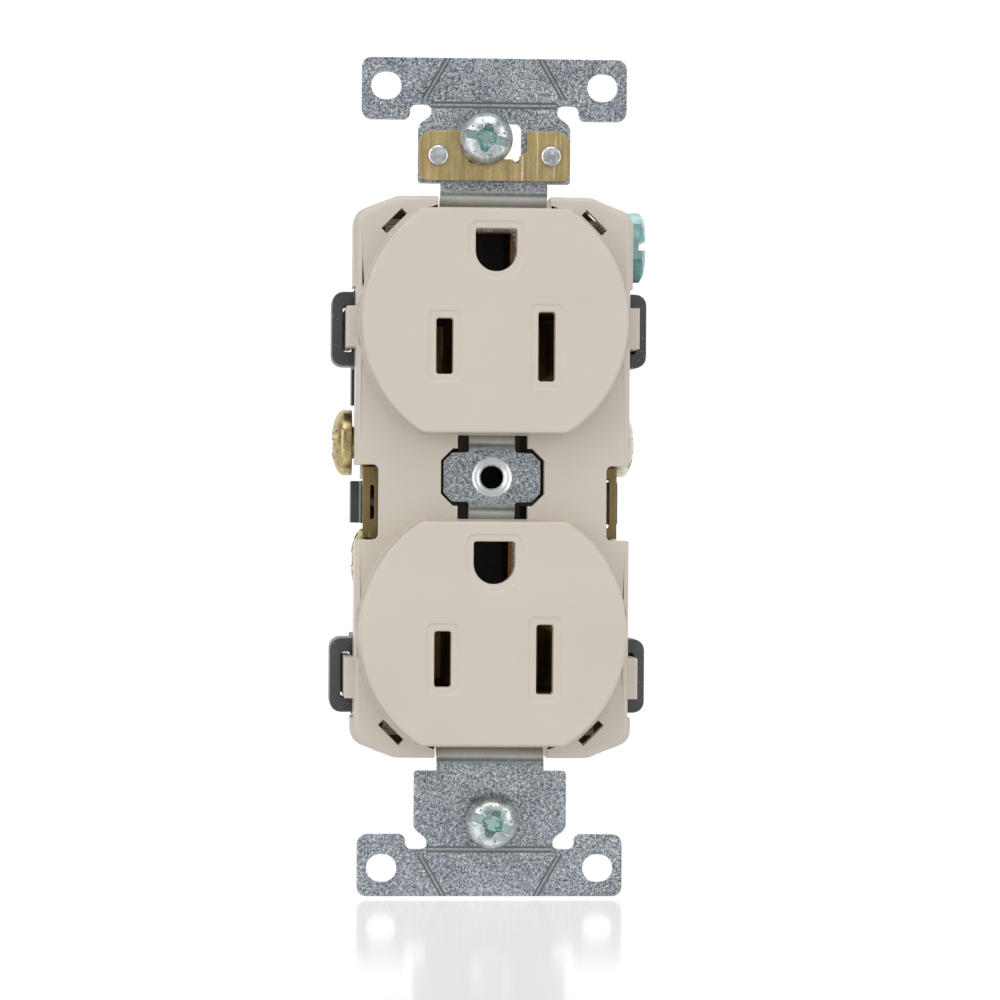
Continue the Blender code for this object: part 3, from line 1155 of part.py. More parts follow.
def main():
    for item in list(bpy.data.objects):
        bpy.data.objects.remove(item)

    almond = make_material("almond_plastic", (0.62, 0.55, 0.46), 0.38)
    dark_grey = make_material("dark_grey_plastic", (0.06, 0.062, 0.065), 0.5)
    zinc = make_material("zinc_plated_steel", (0.52, 0.55, 0.58), 0.36, 1.0)
    brass = make_material("brass_sheet", (0.52, 0.40, 0.16), 0.34, 1.0)
    bronze = make_material("contact_bronze", (0.45, 0.26, 0.11), 0.35, 1.0)
    gold_brass = make_material("brass_screw", (0.78, 0.60, 0.26), 0.25, 1.0)
    nickel = make_material("nickel_screw", (0.72, 0.70, 0.67), 0.22, 1.0)
    green = make_material("green_screw", (0.12, 0.50, 0.42), 0.35, 1.0)
    fibre = make_material("fibre_washer", (0.05, 0.045, 0.04), 0.8)

    build_front_cover(almond)
    build_back_body(dark_grey)
    build_strap(zinc)
    build_clip(brass)
    for side, sign in (("left", -1), ("right", 1)):
        build_rivet(
            f"clip_rivet_{side}",
            sign * CLIP_RIVET_X,
            CLIP_RIVET_Z,
            CLIP_FRONT_Y - GAP,
            STRAP_REAR_Y + GAP,
            CLIP_RIVET_RADIUS,
            CLIP_RIVET_HEAD_RADIUS,
            zinc,
        )
    build_bus("hot_terminal_bus", -1, HOT_LINK_SLOT, brass)
    build_bus("neutral_terminal_bus", 1, NEUTRAL_LINK_SLOT, brass)
    for label, pin_z in zip(("upper", "lower"), GROUND_PINS):
        build_ground_contact(f"ground_contact_{label}", pin_z, bronze)
        for side, sign in (("left", -1), ("right", 1)):
            build_rivet(
                f"ground_rivet_{label}_{side}",
                sign * GROUND_RIVET_X,
                pin_z,
                INNER_FRONT_Y - GAP,
                GROUND_PLATE_FRONT_Y + GROUND_SHEET + GAP,
                GROUND_RIVET_RADIUS,
                GROUND_RIVET_HEAD_RADIUS,
                bronze,
            )

    terminal_head = (TERMINAL_HEAD_RADIUS, TERMINAL_HEAD_EDGE, TERMINAL_HEAD_HEIGHT)
    lower_x = SIDE_PLATE_X - LOWER_PLATE_INSET + GAP
    upper_x = SIDE_PLATE_X + GAP
    rows = (
        ("brass_terminal_screw_upper", -1, upper_x + BRASS_BACKED_OUT, TERMINAL_CENTRES[0], 20),
        ("brass_terminal_screw_lower", -1, lower_x, TERMINAL_CENTRES[1], 75),
        ("silver_terminal_screw_upper", 1, upper_x, TERMINAL_CENTRES[0], 50),
        ("silver_terminal_screw_lower", 1, lower_x, TERMINAL_CENTRES[1], -15),
    )
    shank = (TERMINAL_SHANK_RADIUS, TERMINAL_SHANK_LENGTH)
    for name, sign, x, z, turn in rows:
        screw = build_machine_screw(name, *shank, terminal_head, nickel if sign > 0 else gold_brass)
        place_screw(screw, (sign * x, TERMINAL_Y, z), (sign, 0, 0), radians(turn))
    ground_screw = build_ground_screw("ground_screw", green)
    place_screw(ground_screw, (GROUND_TAB_X + GAP, GROUND_SCREW_Y, GROUND_SCREW_Z), (1, 0, 0))

    mounting_head = (MOUNTING_HEAD_RADIUS, 0.3 * MM, MOUNTING_HEAD_HEIGHT)
    head_y = STRAP_FRONT_Y - MOUNTING_HEAD_LIFT
    for label, x, z, turn in (
        ("upper", UPPER_SCREW_X, COVER_END + UPPER_SCREW_OFFSET, -12),
        ("lower", LOWER_SCREW_X, -COVER_END - LOWER_SCREW_OFFSET, -20),
    ):
        name = f"mounting_screw_{label}"
        shank = (MOUNTING_SCREW_RADIUS, MOUNTING_SCREW_LENGTH)
        screw = build_machine_screw(name, *shank, mounting_head, zinc)
        place_screw(screw, (x, head_y, z), (0, -1, 0), radians(turn))
        build_retainer(f"screw_retainer_{label}", x, z, fibre)


main()
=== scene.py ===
"""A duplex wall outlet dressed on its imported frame: cover, strap, clip, body, buses and screws.

The front faces -Y and +Z is up. Sizes are in metres, in the frame's own place.
"""

import json
import logging
from collections.abc import Sequence
from dataclasses import dataclass, field
from enum import Enum
from math import asin, atan2, cos, pi, radians, sin, tan
from typing import Union

import bmesh
import bpy
from mathutils import Matrix, Vector


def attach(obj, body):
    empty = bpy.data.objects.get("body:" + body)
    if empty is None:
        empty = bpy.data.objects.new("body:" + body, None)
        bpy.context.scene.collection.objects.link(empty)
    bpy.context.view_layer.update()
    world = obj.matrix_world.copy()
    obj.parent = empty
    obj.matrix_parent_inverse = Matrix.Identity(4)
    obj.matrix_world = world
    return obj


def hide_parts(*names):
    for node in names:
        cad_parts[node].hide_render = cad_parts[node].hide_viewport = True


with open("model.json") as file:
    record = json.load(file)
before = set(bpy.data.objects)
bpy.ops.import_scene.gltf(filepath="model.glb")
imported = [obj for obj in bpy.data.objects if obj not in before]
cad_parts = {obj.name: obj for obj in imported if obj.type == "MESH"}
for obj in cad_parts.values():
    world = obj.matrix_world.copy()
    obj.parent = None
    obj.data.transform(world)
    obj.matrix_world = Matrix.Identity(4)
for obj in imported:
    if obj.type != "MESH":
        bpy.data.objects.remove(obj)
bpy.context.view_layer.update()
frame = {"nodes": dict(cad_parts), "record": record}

LOG = logging.getLogger("duplex_outlet")
MM = 0.001
ARC_STEP = radians(9)
Outline = list[tuple[float, float]]
Colour = tuple[float, float, float]
Setting = Union[float, tuple, "Signal"]


# ---- Places that several pieces share ------------------------------------
STRAP_REAR = -20.4 * MM
STRAP_FRONT = -21.4 * MM
INNER_REAR = -15.9 * MM
INNER_FRONT = -16.9 * MM
LEDGE = -23.1 * MM
FACE = -27.6 * MM
COVER_REAR = -15.7 * MM
COVER_END = 35.2 * MM
COVER_SIDE = 17.2 * MM
FACE_CENTRES = (19.45 * MM, -19.45 * MM)
BLADE_LINES = (16.25 * MM, -22.65 * MM)
GROUND_PINS = (28.15 * MM, -10.75 * MM)
LINK_HEIGHT = -3.2 * MM
SIDES = (("right", 1), ("left", -1))
ENDS = (("upper", 1), ("lower", -1))


# ---- Outlines ------------------------------------------------------------
def rounded(corners: Sequence[tuple[float, float, float]], step: float = ARC_STEP) -> Outline:
    """Turns corners into an outline whose corners are arcs.

    Args:
        corners: Points (u, v, radius) in order.
        step: The half angle that one stretch of an arc covers.

    Returns:
        The outline's points.
    """
    outline: Outline = []
    for index, (u, v, radius) in enumerate(corners):
        here = Vector((u, v))
        before = Vector(corners[index - 1][:2]) - here
        after = Vector(corners[(index + 1) % len(corners)][:2]) - here
        if radius == 0:
            outline.append((u, v))
            continue
        half = before.angle(after) / 2
        reach = radius / tan(half)
        centre = here + (before.normalized() + after.normalized()).normalized() * (radius / sin(half))
        first = here + before.normalized() * reach - centre
        last = here + after.normalized() * reach - centre
        sweep = first.angle_signed(last)
        steps = max(2, round(abs(sweep) / (2 * step)))
        for count in range(steps + 1):
            turned = Matrix.Rotation(-sweep * count / steps, 2) @ first
            outline.append(tuple(centre + turned))
    return outline


def rectangle(u: float, v: float, width: float, height: float, radius: float = 0.0) -> Outline:
    """A rectangle about its centre, with round corners where a radius is given."""
    signs = ((-1, -1), (1, -1), (1, 1), (-1, 1))
    return rounded([(u + su * width / 2, v + sv * height / 2, radius) for su, sv in signs])


def mirrored(half: list[tuple]) -> list[tuple]:
    """Closes a half outline, given at +u, by its mirror image."""
    return half + [(-u, v, *rest) for u, v, *rest in reversed(half)]


def ring(u: float, v: float, radius: float, segments: int = 40) -> Outline:
    """A circle's points."""
    return [
        (u + radius * cos(2 * pi * step / segments), v + radius * sin(2 * pi * step / segments))
        for step in range(segments)
    ]


def ribbon(path: Sequence[tuple[float, float]], thickness: float) -> Outline:
    """The outline of a bent sheet of even thickness about its centre line."""
    sides: tuple[Outline, Outline] = ([], [])
    for index, point in enumerate(path):
        here = Vector(point)
        towards = []
        if index > 0:
            towards.append((here - Vector(path[index - 1])).normalized())
        if index < len(path) - 1:
            towards.append((Vector(path[index + 1]) - here).normalized())
        along = sum(towards, Vector((0, 0))).normalized()
        across = Vector((-along.y, along.x)) * (thickness / 2 / along.dot(towards[0]))
        sides[0].append(tuple(here + across))
        sides[1].append(tuple(here - across))
    return sides[0] + sides[1][::-1]


# ---- Solids --------------------------------------------------------------
class Axis(Enum):
    """The axis that an outline is drawn out along."""

    X = "X"
    Y = "Y"
    Z = "Z"

    def place(self, u: float, v: float, depth: float) -> Vector:
        """The point of an outline's (u, v) at a depth along the axis."""
        if self is Axis.X:
            return Vector((depth, u, v))
        if self is Axis.Y:
            return Vector((u, depth, v))
        return Vector((u, v, depth))


class Operation(Enum):
    """What a tool does to the piece that it meets."""

    JOIN = "UNION"
    CUT = "DIFFERENCE"
    KEEP = "INTERSECT"


class Solid:
    """A bmesh in the making. Shapes that stay clear of each other may share one."""

    def __init__(self) -> None:
        """Starts with no shape."""
        self.mesh = bmesh.new()

    def loft(self, rings: Sequence[tuple[float, Outline]], axis: Axis = Axis.Y) -> "Solid":
        """Draws a start face out through further outlines with as many points.

        Args:
            rings: Pairs (depth, outline), in order.
            axis: The axis of the depths.

        Returns:
            The solid itself.
        """
        points = [axis.place(u, v, rings[0][0]) for u, v in rings[0][1]]
        cap = self.mesh.faces.new([self.mesh.verts.new(point) for point in points])
        for count, (depth, outline) in enumerate(rings[1:]):
            order = {tuple(round(c * 1e8) for c in point): index for index, point in enumerate(points)}
            grown = bmesh.ops.extrude_face_region(self.mesh, geom=[cap])["geom"]
            if count > 0:
                bmesh.ops.delete(self.mesh, geom=[cap], context="FACES_ONLY")
            cap = next(item for item in grown if isinstance(item, bmesh.types.BMFace))
            points = [axis.place(u, v, depth) for u, v in outline]
            for vert in cap.verts:
                vert.co = points[order[tuple(round(c * 1e8) for c in vert.co)]]
        return self

    def prism(self, outline: Outline, start: float, end: float, axis: Axis = Axis.Y) -> "Solid":
        """An outline drawn out straight."""
        return self.loft([(start, outline), (end, outline)], axis)

    def box(self, low: Sequence[float], high: Sequence[float], turn: Matrix | None = None) -> "Solid":
        """A box from its lowest to its highest corner, turned by a matrix if one is given."""
        centre = [(first + last) / 2 for first, last in zip(low, high)]
        size = [abs(last - first) for first, last in zip(low, high)]
        place = Matrix.Translation(centre) @ Matrix.Diagonal((*size, 1))
        bmesh.ops.create_cube(self.mesh, size=1.0, matrix=(turn or Matrix.Identity(4)) @ place)
        return self

    def turned(self, profile: Sequence[tuple[float, float]], segments: int = 56) -> "Solid":
        """A solid of revolution about Z, from points (radius, height) that end on the axis."""
        verts = [self.mesh.verts.new((radius, 0, height)) for radius, height in profile]
        edges = [self.mesh.edges.new(pair) for pair in zip(verts, verts[1:])]
        bmesh.ops.spin(
            self.mesh,
            geom=verts + edges,
            cent=(0, 0, 0),
            axis=(0, 0, 1),
            angle=2 * pi,
            steps=segments,
            use_merge=True,
        )
        bmesh.ops.remove_doubles(self.mesh, verts=self.mesh.verts, dist=1e-8)
        return self

    def thread(self, root: float, crest: float, start: float, end: float, pitch: float) -> "Solid":
        """A helical ridge about Z between two heights, sunk a little into its core."""
        half = pitch * 0.42
        tooth = ((root - 0.06 * MM, start - half), (crest, start - 0.04 * MM), (crest, start + 0.04 * MM))
        points = [*tooth, (root - 0.06 * MM, start + half)]
        section = self.mesh.faces.new([self.mesh.verts.new((radius, 0, height)) for radius, height in points])
        turns = (end - start) / pitch
        steps = round(abs(turns) * 28)
        bmesh.ops.spin(
            self.mesh,
            geom=[section],
            cent=(0, 0, 0),
            axis=(0, 0, 1),
            dvec=(0, 0, (end - start) / steps),
            angle=2 * pi * abs(turns),
            steps=steps,
            use_merge=False,
        )
        return self

    def moved(self, place: Matrix) -> "Solid":
        """The solid at its place in the frame."""
        bmesh.ops.transform(self.mesh, matrix=place, verts=self.mesh.verts)
        return self

    def shown(self, name: str) -> bpy.types.Object:
        """Closes the work: an object at the origin with its faces turned outwards."""
        bmesh.ops.recalc_face_normals(self.mesh, faces=self.mesh.faces)
        data = bpy.data.meshes.new(name)
        self.mesh.to_mesh(data)
        self.mesh.free()
        piece = bpy.data.objects.new(name, data)
        bpy.context.scene.collection.objects.link(piece)
        return piece


def carve(piece: bpy.types.Object, steps: Sequence[tuple[Operation, Solid]]) -> bpy.types.Object:
    """Works solids into a piece one after another and keeps only the result.

    Args:
        piece: The piece to work on.
        steps: Pairs of what to do and the solid to do it with.

    Returns:
        The same piece with its new mesh.
    """
    tools = []
    for index, (operation, solid) in enumerate(steps):
        tool = solid.shown(f"{piece.name}_tool_{index}")
        modifier = piece.modifiers.new(tool.name, "BOOLEAN")
        modifier.operation = operation.value
        modifier.solver = "EXACT"
        modifier.object = tool
        tools.append(tool)
    bpy.context.view_layer.update()
    whole = piece.evaluated_get(bpy.context.evaluated_depsgraph_get())
    made = bpy.data.meshes.new_from_object(whole)
    piece.modifiers.clear()
    piece.data = made
    for tool in tools:
        bpy.data.objects.remove(tool)
    return piece


def ease(
    piece: bpy.types.Object,
    width: float,
    segments: int = 2,
    angle: float = 38.0,
    merge: float = 34e-6,
) -> bpy.types.Object:
    """Smooth shading with softly broken edges.

    Args:
        piece: The piece to finish.
        width: How far the broken edge reaches.
        segments: Steps across the broken edge.
        angle: The least angle, in degrees, that counts as an edge.
        merge: Points closer than this become one.

    Returns:
        The same piece.
    """
    maker = bmesh.new()
    maker.from_mesh(piece.data)
    bmesh.ops.remove_doubles(maker, verts=maker.verts, dist=merge)
    bmesh.ops.dissolve_degenerate(maker, edges=maker.edges, dist=2e-6)
    bmesh.ops.triangulate(maker, faces=maker.faces, quad_method="BEAUTY", ngon_method="BEAUTY")
    maker.to_mesh(piece.data)
    maker.free()
    piece.data.shade_smooth()
    piece.data.set_sharp_from_angle(angle=radians(35))
    if width > 0:
        bevel = piece.modifiers.new("broken_edges", "BEVEL")
        bevel.width = width
        bevel.segments = segments
        bevel.limit_method = "ANGLE"
        bevel.angle_limit = radians(angle)
        bevel.use_clamp_overlap = False
        bevel.miter_outer = "MITER_SHARP"
        bevel.harden_normals = False
    weigh = piece.modifiers.new("even_normals", "WEIGHTED_NORMAL")
    weigh.keep_sharp = True
    return piece


# ---- Shader tools --------------------------------------------------------
class Signal:
    """A socket's value. Arithmetic on it adds the Math nodes."""

    def __init__(self, board: "Board", socket: bpy.types.NodeSocket) -> None:
        """Wraps one output socket."""
        self.board = board
        self.socket = socket

    def _math(self, operation: str, first: Setting, second: Setting = 0.0) -> "Signal":
        """One Math node on two values."""
        return self.board.add("ShaderNodeMath", {"operation": operation}, {0: first, 1: second})

    def __add__(self, other: Setting) -> "Signal":
        """self + other."""
        return self._math("ADD", self, other)

    def __radd__(self, other: Setting) -> "Signal":
        """other + self."""
        return self._math("ADD", other, self)

    def __sub__(self, other: Setting) -> "Signal":
        """self - other."""
        return self._math("SUBTRACT", self, other)

    def __rsub__(self, other: Setting) -> "Signal":
        """other - self."""
        return self._math("SUBTRACT", other, self)

    def __mul__(self, other: Setting) -> "Signal":
        """self * other."""
        return self._math("MULTIPLY", self, other)

    def __rmul__(self, other: Setting) -> "Signal":
        """other * self."""
        return self._math("MULTIPLY", other, self)

    def size(self) -> "Signal":
        """The value without its sign."""
        return self._math("ABSOLUTE", self)

    def between(self, low: float, high: float) -> "Signal":
        """0 below low and 1 above high, with a smooth rise."""
        values = {"Value": self, "From Min": low, "From Max": high}
        return self.board.add("ShaderNodeMapRange", {"interpolation_type": "SMOOTHSTEP"}, values)


class Board:
    """The nodes of one material or world."""

    def __init__(self, tree: bpy.types.NodeTree) -> None:
        """Takes over a node tree."""
        self.tree = tree

    def add(self, kind: str, settings: dict | None = None, sockets: dict | None = None, output: int | str = 0) -> Signal:
        """Adds any node.

        Args:
            kind: The node's type.
            settings: Its settings; "stops" fills a colour ramp with (place, colour).
            sockets: Values or signals for its inputs, by name, identifier or index.
            output: The output to hand on.

        Returns:
            The signal of that output.
        """
        node = self.tree.nodes.new(kind)
        for key, value in (settings or {}).items():
            if key == "stops":
                self._fill(node.color_ramp, value)
            else:
                setattr(node, key, value)
        for key, value in (sockets or {}).items():
            socket = self._find(node.inputs, key)
            if isinstance(value, Signal):
                self.tree.links.new(value.socket, socket)
            else:
                socket.default_value = value
        return Signal(self, self._find(node.outputs, output))

    @staticmethod
    def _fill(ramp: bpy.types.ColorRamp, stops: Sequence[tuple[float, Colour]]) -> None:
        """Gives a colour ramp its stops."""
        while len(ramp.elements) < len(stops):
            ramp.elements.new(0.5)
        for element, (place, colour) in zip(ramp.elements, stops):
            element.position = place
            element.color = (*colour, 1.0)

    @staticmethod
    def _find(sockets: bpy.types.bpy_prop_collection, key: int | str) -> bpy.types.NodeSocket:
        """A socket by index, identifier or name."""
        if isinstance(key, int):
            return sockets[key]
        named = [socket for socket in sockets if socket.identifier == key]
        return named[0] if named else sockets[key]

    def coordinate(self, output: str = "Object") -> Signal:
        """Object coordinates, or another output of Texture Coordinate."""
        return self.add("ShaderNodeTexCoord", output=output)

    def part(self, vector: Signal, axis: Axis) -> Signal:
        """One component of a vector."""
        return self.add("ShaderNodeSeparateXYZ", sockets={0: vector}, output=axis.value)

    def place(self, stretch: Colour = (1.0, 1.0, 1.0), turn: Colour = (0.0, 0.0, 0.0)) -> Signal:
        """Object coordinates, stretched and turned for a pattern."""
        values = {"Vector": self.coordinate(), "Scale": stretch, "Rotation": turn}
        return self.add("ShaderNodeMapping", None, values)

    def noise(
        self,
        grain: float,
        detail: float = 2.0,
        rough: float = 0.5,
        stretch: Colour = (1.0, 1.0, 1.0),
        shift: float = 0.0,
        turn: Colour = (0.0, 0.0, 0.0),
    ) -> Signal:
        """Noise whose grain is a length in metres."""
        settings = {"noise_dimensions": "4D"}
        values = {"Vector": self.place(stretch, turn), "W": shift, "Scale": 1 / grain, "Detail": detail}
        values["Roughness"] = rough
        return self.add("ShaderNodeTexNoise", settings, values)

    def dots(self, spacing: float, radius: float) -> Signal:
        """Scattered specks: 1 inside a speck, 0 between."""
        values = {"Vector": self.place(), "Scale": 1 / spacing}
        distance = self.add("ShaderNodeTexVoronoi", None, values)
        return 1.0 - distance.between(radius * 0.6, radius)

    def ramp(self, value: Signal, stops: Sequence[tuple[float, Colour]]) -> Signal:
        """Colours along a value."""
        return self.add("ShaderNodeValToRGB", {"stops": stops}, {0: value})

    def blend(self, factor: Setting, first: Setting, second: Setting) -> Signal:
        """One colour going over into another."""
        tones = [(*tone, 1.0) if isinstance(tone, tuple) else tone for tone in (first, second)]
        values = {"Factor_Float": factor, "A_Color": tones[0], "B_Color": tones[1]}
        return self.add("ShaderNodeMix", {"data_type": "RGBA"}, values, "Result_Color")

    def relief(self, height: Signal, depth: float, strength: float = 1.0) -> Signal:
        """A bumped normal for a height of 0 to 1 that is depth metres deep."""
        return self.add("ShaderNodeBump", None, {"Height": height, "Distance": depth, "Strength": strength})


@dataclass(frozen=True)
class Finish:
    """A finish that dresses pieces and names the record's slot it stands for."""

    name: str
    slot: str

    def sockets(self, board: Board) -> dict[str, Setting]:
        """The Principled shader's sockets."""
        raise NotImplementedError

    def material(self) -> bpy.types.Material:
        """The finish's material, made on its first use."""
        made = bpy.data.materials.get(self.name)
        if made is None:
            made = bpy.data.materials.new(self.name)
            made.use_nodes = True
            made.node_tree.nodes.clear()
            board = Board(made.node_tree)
            shader = board.add("ShaderNodeBsdfPrincipled", None, self.sockets(board))
            output = made.node_tree.nodes.new("ShaderNodeOutputMaterial")
            made.node_tree.links.new(shader.socket, output.inputs["Surface"])
        return made


@dataclass(frozen=True)
class MouldedPlastic(Finish):
    """Moulded plastic with a faint orange peel, soft tone drift, a little dust and a painted glow on the inner walls.
    """

    tone: Colour = (0.51, 0.463, 0.404)
    shade: Colour = (0.492, 0.444, 0.386)
    roughness: float = 0.36
    coat: float = 0.1
    dust: Colour = (0.8, 0.78, 0.74)
    dust_amount: float = 0.0
    peel: float = 3e-6
    # Colour of the painted glow on the inner walls.
    painted_glow: Colour = (0.13, 0.096, 0.052)

    def sockets(self, board: Board) -> dict[str, Setting]:
        """The Principled shader's sockets."""
        drift = board.noise(9 * MM, 3.0)
        grain = board.noise(0.35 * MM, 2.0, 0.6)
        fine = board.noise(0.12 * MM, 2.0, 0.6, shift=3.0)
        colour = board.blend((drift * 0.8 + grain * 0.2).between(0.3, 0.7), self.shade, self.tone)
        if self.dust_amount > 0:
            patch = board.noise(4 * MM, 3.0, shift=5.0).between(0.42, 0.66)
            specks = board.dots(0.45 * MM, 0.2) * patch * self.dust_amount
            film = board.noise(1.4 * MM, 4.0, 0.65, shift=8.0).between(0.5, 0.85) * self.dust_amount * 0.16
            colour = board.blend(specks + film, colour, self.dust)
        inside = board.add("ShaderNodeAttribute", {"attribute_name": "inside"}, None, "Fac")
        return {
            "Base Color": colour,
            "Roughness": grain * 0.1 + (self.roughness - 0.05),
            "Specular IOR Level": 0.45,
            "Coat Weight": self.coat,
            "Coat Roughness": 0.25,
            # Marked inner walls emit light: a painted glow, not a lamp.
            "Emission Color": board.blend(inside, (0.0, 0.0, 0.0), self.painted_glow),
            "Emission Strength": 1.0,
            "Normal": board.relief(grain * 0.7 + fine * 0.5, self.peel),
        }


@dataclass(frozen=True)
class SpangledZinc(Finish):
    """Zinc plate: a fine dark and light speckle on the flats, drawn smooth over bends and cut edges; bends, cut edges
    and side-facing slopes carry painted highlights, and the score grooves and their beds painted shade.
    """

    def sockets(self, board: Board) -> dict[str, Setting]:
        """The Principled shader's sockets."""
        normal = board.coordinate("Normal")
        facing = board.part(normal, Axis.Y).size()
        flat = facing.between(0.86, 0.985)
        edge = 1.0 - facing.between(0.1, 0.45)
        grain = board.noise(0.2 * MM, 2.0, 0.7)
        crystal = board.noise(0.42 * MM, 2.0, 0.6, shift=2.0)
        cloud = board.noise(3.2 * MM, 3.0, 0.55, shift=4.0)
        streak = board.noise(0.5 * MM, 3.0, 0.6, (1.0, 1.0, 0.12), 6.0)
        speckle = (grain * 0.62 + crystal * 0.38 - 0.5) * 3.4
        tone = speckle * (flat * 0.94 + 0.06) + (cloud - 0.5) * 0.42 + (streak - 0.5) * (1.0 - flat) * 0.5 + 0.5
        stops = [
            (0.0, (0.05, 0.058, 0.07)),
            (0.3, (0.17, 0.19, 0.215)),
            (0.5, (0.33, 0.36, 0.395)),
            (0.72, (0.56, 0.6, 0.64)),
            (1.0, (0.9, 0.93, 0.95)),
        ]
        sideways_highlight = board.part(normal, Axis.X).size().between(0.2, 0.5)
        # Bends and other faces that don't face the front go over into a light grey: a painted reflection.
        colour = board.blend((1.0 - flat) * 0.75, board.ramp(tone, stops), (0.7, 0.745, 0.73))
        # Faces turned well away from the front, such as cut edges, are lightened: a painted edge highlight.
        colour = board.blend(edge * 0.6, colour, (0.8, 0.84, 0.88))
        # Faces tilted sideways, such as the pad dimple's left and right slopes, are lightened: a painted highlight.
        colour = board.blend(sideways_highlight * 0.8, colour, (0.93, 0.96, 0.97))
        depth = board.part(board.coordinate(), Axis.Y)
        above = 1.0 - depth.between(-21.18 * MM, -21.05 * MM)
        bed_painted_shade = depth.between(-21.375 * MM, -21.36 * MM) * above * flat
        groove_painted_shade = depth.between(-21.31 * MM, -21.26 * MM) * above * flat
        # The score beds and grooves are darkened by depth: painted shade in the recesses.
        colour = board.blend(bed_painted_shade * 0.7, colour, (0.4, 0.43, 0.43))
        colour = board.blend(groove_painted_shade * 0.8, colour, (0.13, 0.14, 0.135))
        return {
            "Base Color": colour,
            "Metallic": flat * 0.62 + sideways_highlight * 0.5 + 0.3,
            "Roughness": (tone * 0.18 + 0.3) * (flat * 0.25 + 0.85) + (1.0 - flat) * 0.1 - sideways_highlight * 0.16,
            "Normal": board.relief(grain * flat + cloud * 0.6, 14e-6),
        }


@dataclass(frozen=True)
class BrushedSheet(Finish):
    """Rolled sheet metal with streaks along one way, blotches and odd bright scratches."""

    tone: Colour = (0.315, 0.235, 0.11)
    deep: Colour = (0.186, 0.133, 0.057)
    bright: Colour = (0.9, 0.76, 0.48)
    across: Colour = (1.0, 1.0, 0.03)
    roughness: float = 0.36

    def sockets(self, board: Board) -> dict[str, Setting]:
        """The Principled shader's sockets."""
        wide = board.noise(0.9 * MM, 3.0, 0.6, self.across)
        fine = board.noise(0.22 * MM, 3.0, 0.7, self.across, 2.0)
        blotch = board.noise(1.6 * MM, 4.0, 0.6, shift=4.0)
        grain = board.noise(0.16 * MM, 2.0, 0.7, shift=5.0)
        scratch = board.noise(0.34 * MM, 1.0, 0.4, self.across, 7.0).between(0.64, 0.68)
        scored = board.noise(0.4 * MM, 1.0, 0.4, self.across, 11.0).between(0.65, 0.7)
        mixed = wide * 0.34 + fine * 0.26 + blotch * 0.2 + grain * 0.2
        colour = board.blend(mixed.between(0.38, 0.62), self.deep, self.tone)
        colour = board.blend(scored * blotch * 1.1, colour, tuple(part * 0.5 for part in self.deep))
        colour = board.blend(scratch * blotch * 1.7, colour, self.bright)
        return {
            "Base Color": colour,
            "Metallic": 0.9,
            "Roughness": mixed * 0.22 + (self.roughness - 0.1),
            "Normal": board.relief(fine * 0.6 + grain * 0.4, 7e-6),
        }


@dataclass(frozen=True)
class PlatedScrew(Finish):
    """Plated screw metal: tumbling marks, a recess painted darker as shade (with a turquoise tint on the zinc screws)
    and wear on the corners.
    """

    tone: Colour = (0.66, 0.68, 0.68)
    deep: Colour = (0.36, 0.38, 0.39)
    worn: Colour = (0.86, 0.87, 0.86)
    # The recess colour is painted shade for the slot and cross.
    recess: Colour = (0.2, 0.2, 0.2)
    roughness: float = 0.24
    metallic: float = 0.96
    wear: float = 0.35

    def sockets(self, board: Board) -> dict[str, Setting]:
        """The Principled shader's sockets."""
        cloud = board.noise(1.3 * MM, 4.0, 0.6)
        marks = board.noise(0.3 * MM, 4.0, 0.7, shift=2.0)
        nicks = board.noise(0.55 * MM, 2.0, 0.5, shift=5.0).between(0.56, 0.66)
        colour = board.blend((cloud * 0.6 + marks * 0.4).between(0.32, 0.62), self.deep, self.tone)
        colour = board.blend(nicks * self.wear, colour, self.worn)
        sunk = board.add("ShaderNodeAttribute", {"attribute_name": "sunk"}, None, "Fac")
        # Points deep in the slot and cross go over into the recess colour: painted shade, with a turquoise tint on the
        # zinc screws.
        colour = board.blend(sunk * (marks * 0.5 + 0.5), colour, self.recess)
        return {
            "Base Color": colour,
            "Metallic": self.metallic,
            "Roughness": cloud * 0.16 + marks * 0.1 + (self.roughness - 0.1),
            "Normal": board.relief(marks * 0.6 + cloud * 0.5, 12e-6),
        }


@dataclass(frozen=True)
class Fibre(Finish):
    """Pressed fibre washer board."""

    tone: Colour = (0.06, 0.052, 0.045)

    def sockets(self, board: Board) -> dict[str, Setting]:
        """The Principled shader's sockets."""
        strands = board.noise(0.3 * MM, 4.0, 0.7, (1.0, 1.0, 0.3))
        return {
            "Base Color": board.blend(strands.between(0.3, 0.7), self.tone, (0.12, 0.1, 0.085)),
            "Roughness": strands * 0.2 + 0.65,
            "Normal": board.relief(strands, 20e-6),
        }


COVER_PLASTIC = MouldedPlastic("almond_plastic", "cover_plastic")
BODY_PLASTIC = MouldedPlastic(
    "dark_grey_plastic",
    "body_plastic",
    tone=(0.058, 0.062, 0.064),
    shade=(0.04, 0.042, 0.044),
    roughness=0.42,
    coat=0.0,
    dust=(0.5, 0.49, 0.46),
    dust_amount=0.55,
    peel=6e-6,
    painted_glow=(0.0, 0.0, 0.0),
)
ZINC_SHEET = SpangledZinc("zinc_plated_strap", "zinc_steel")
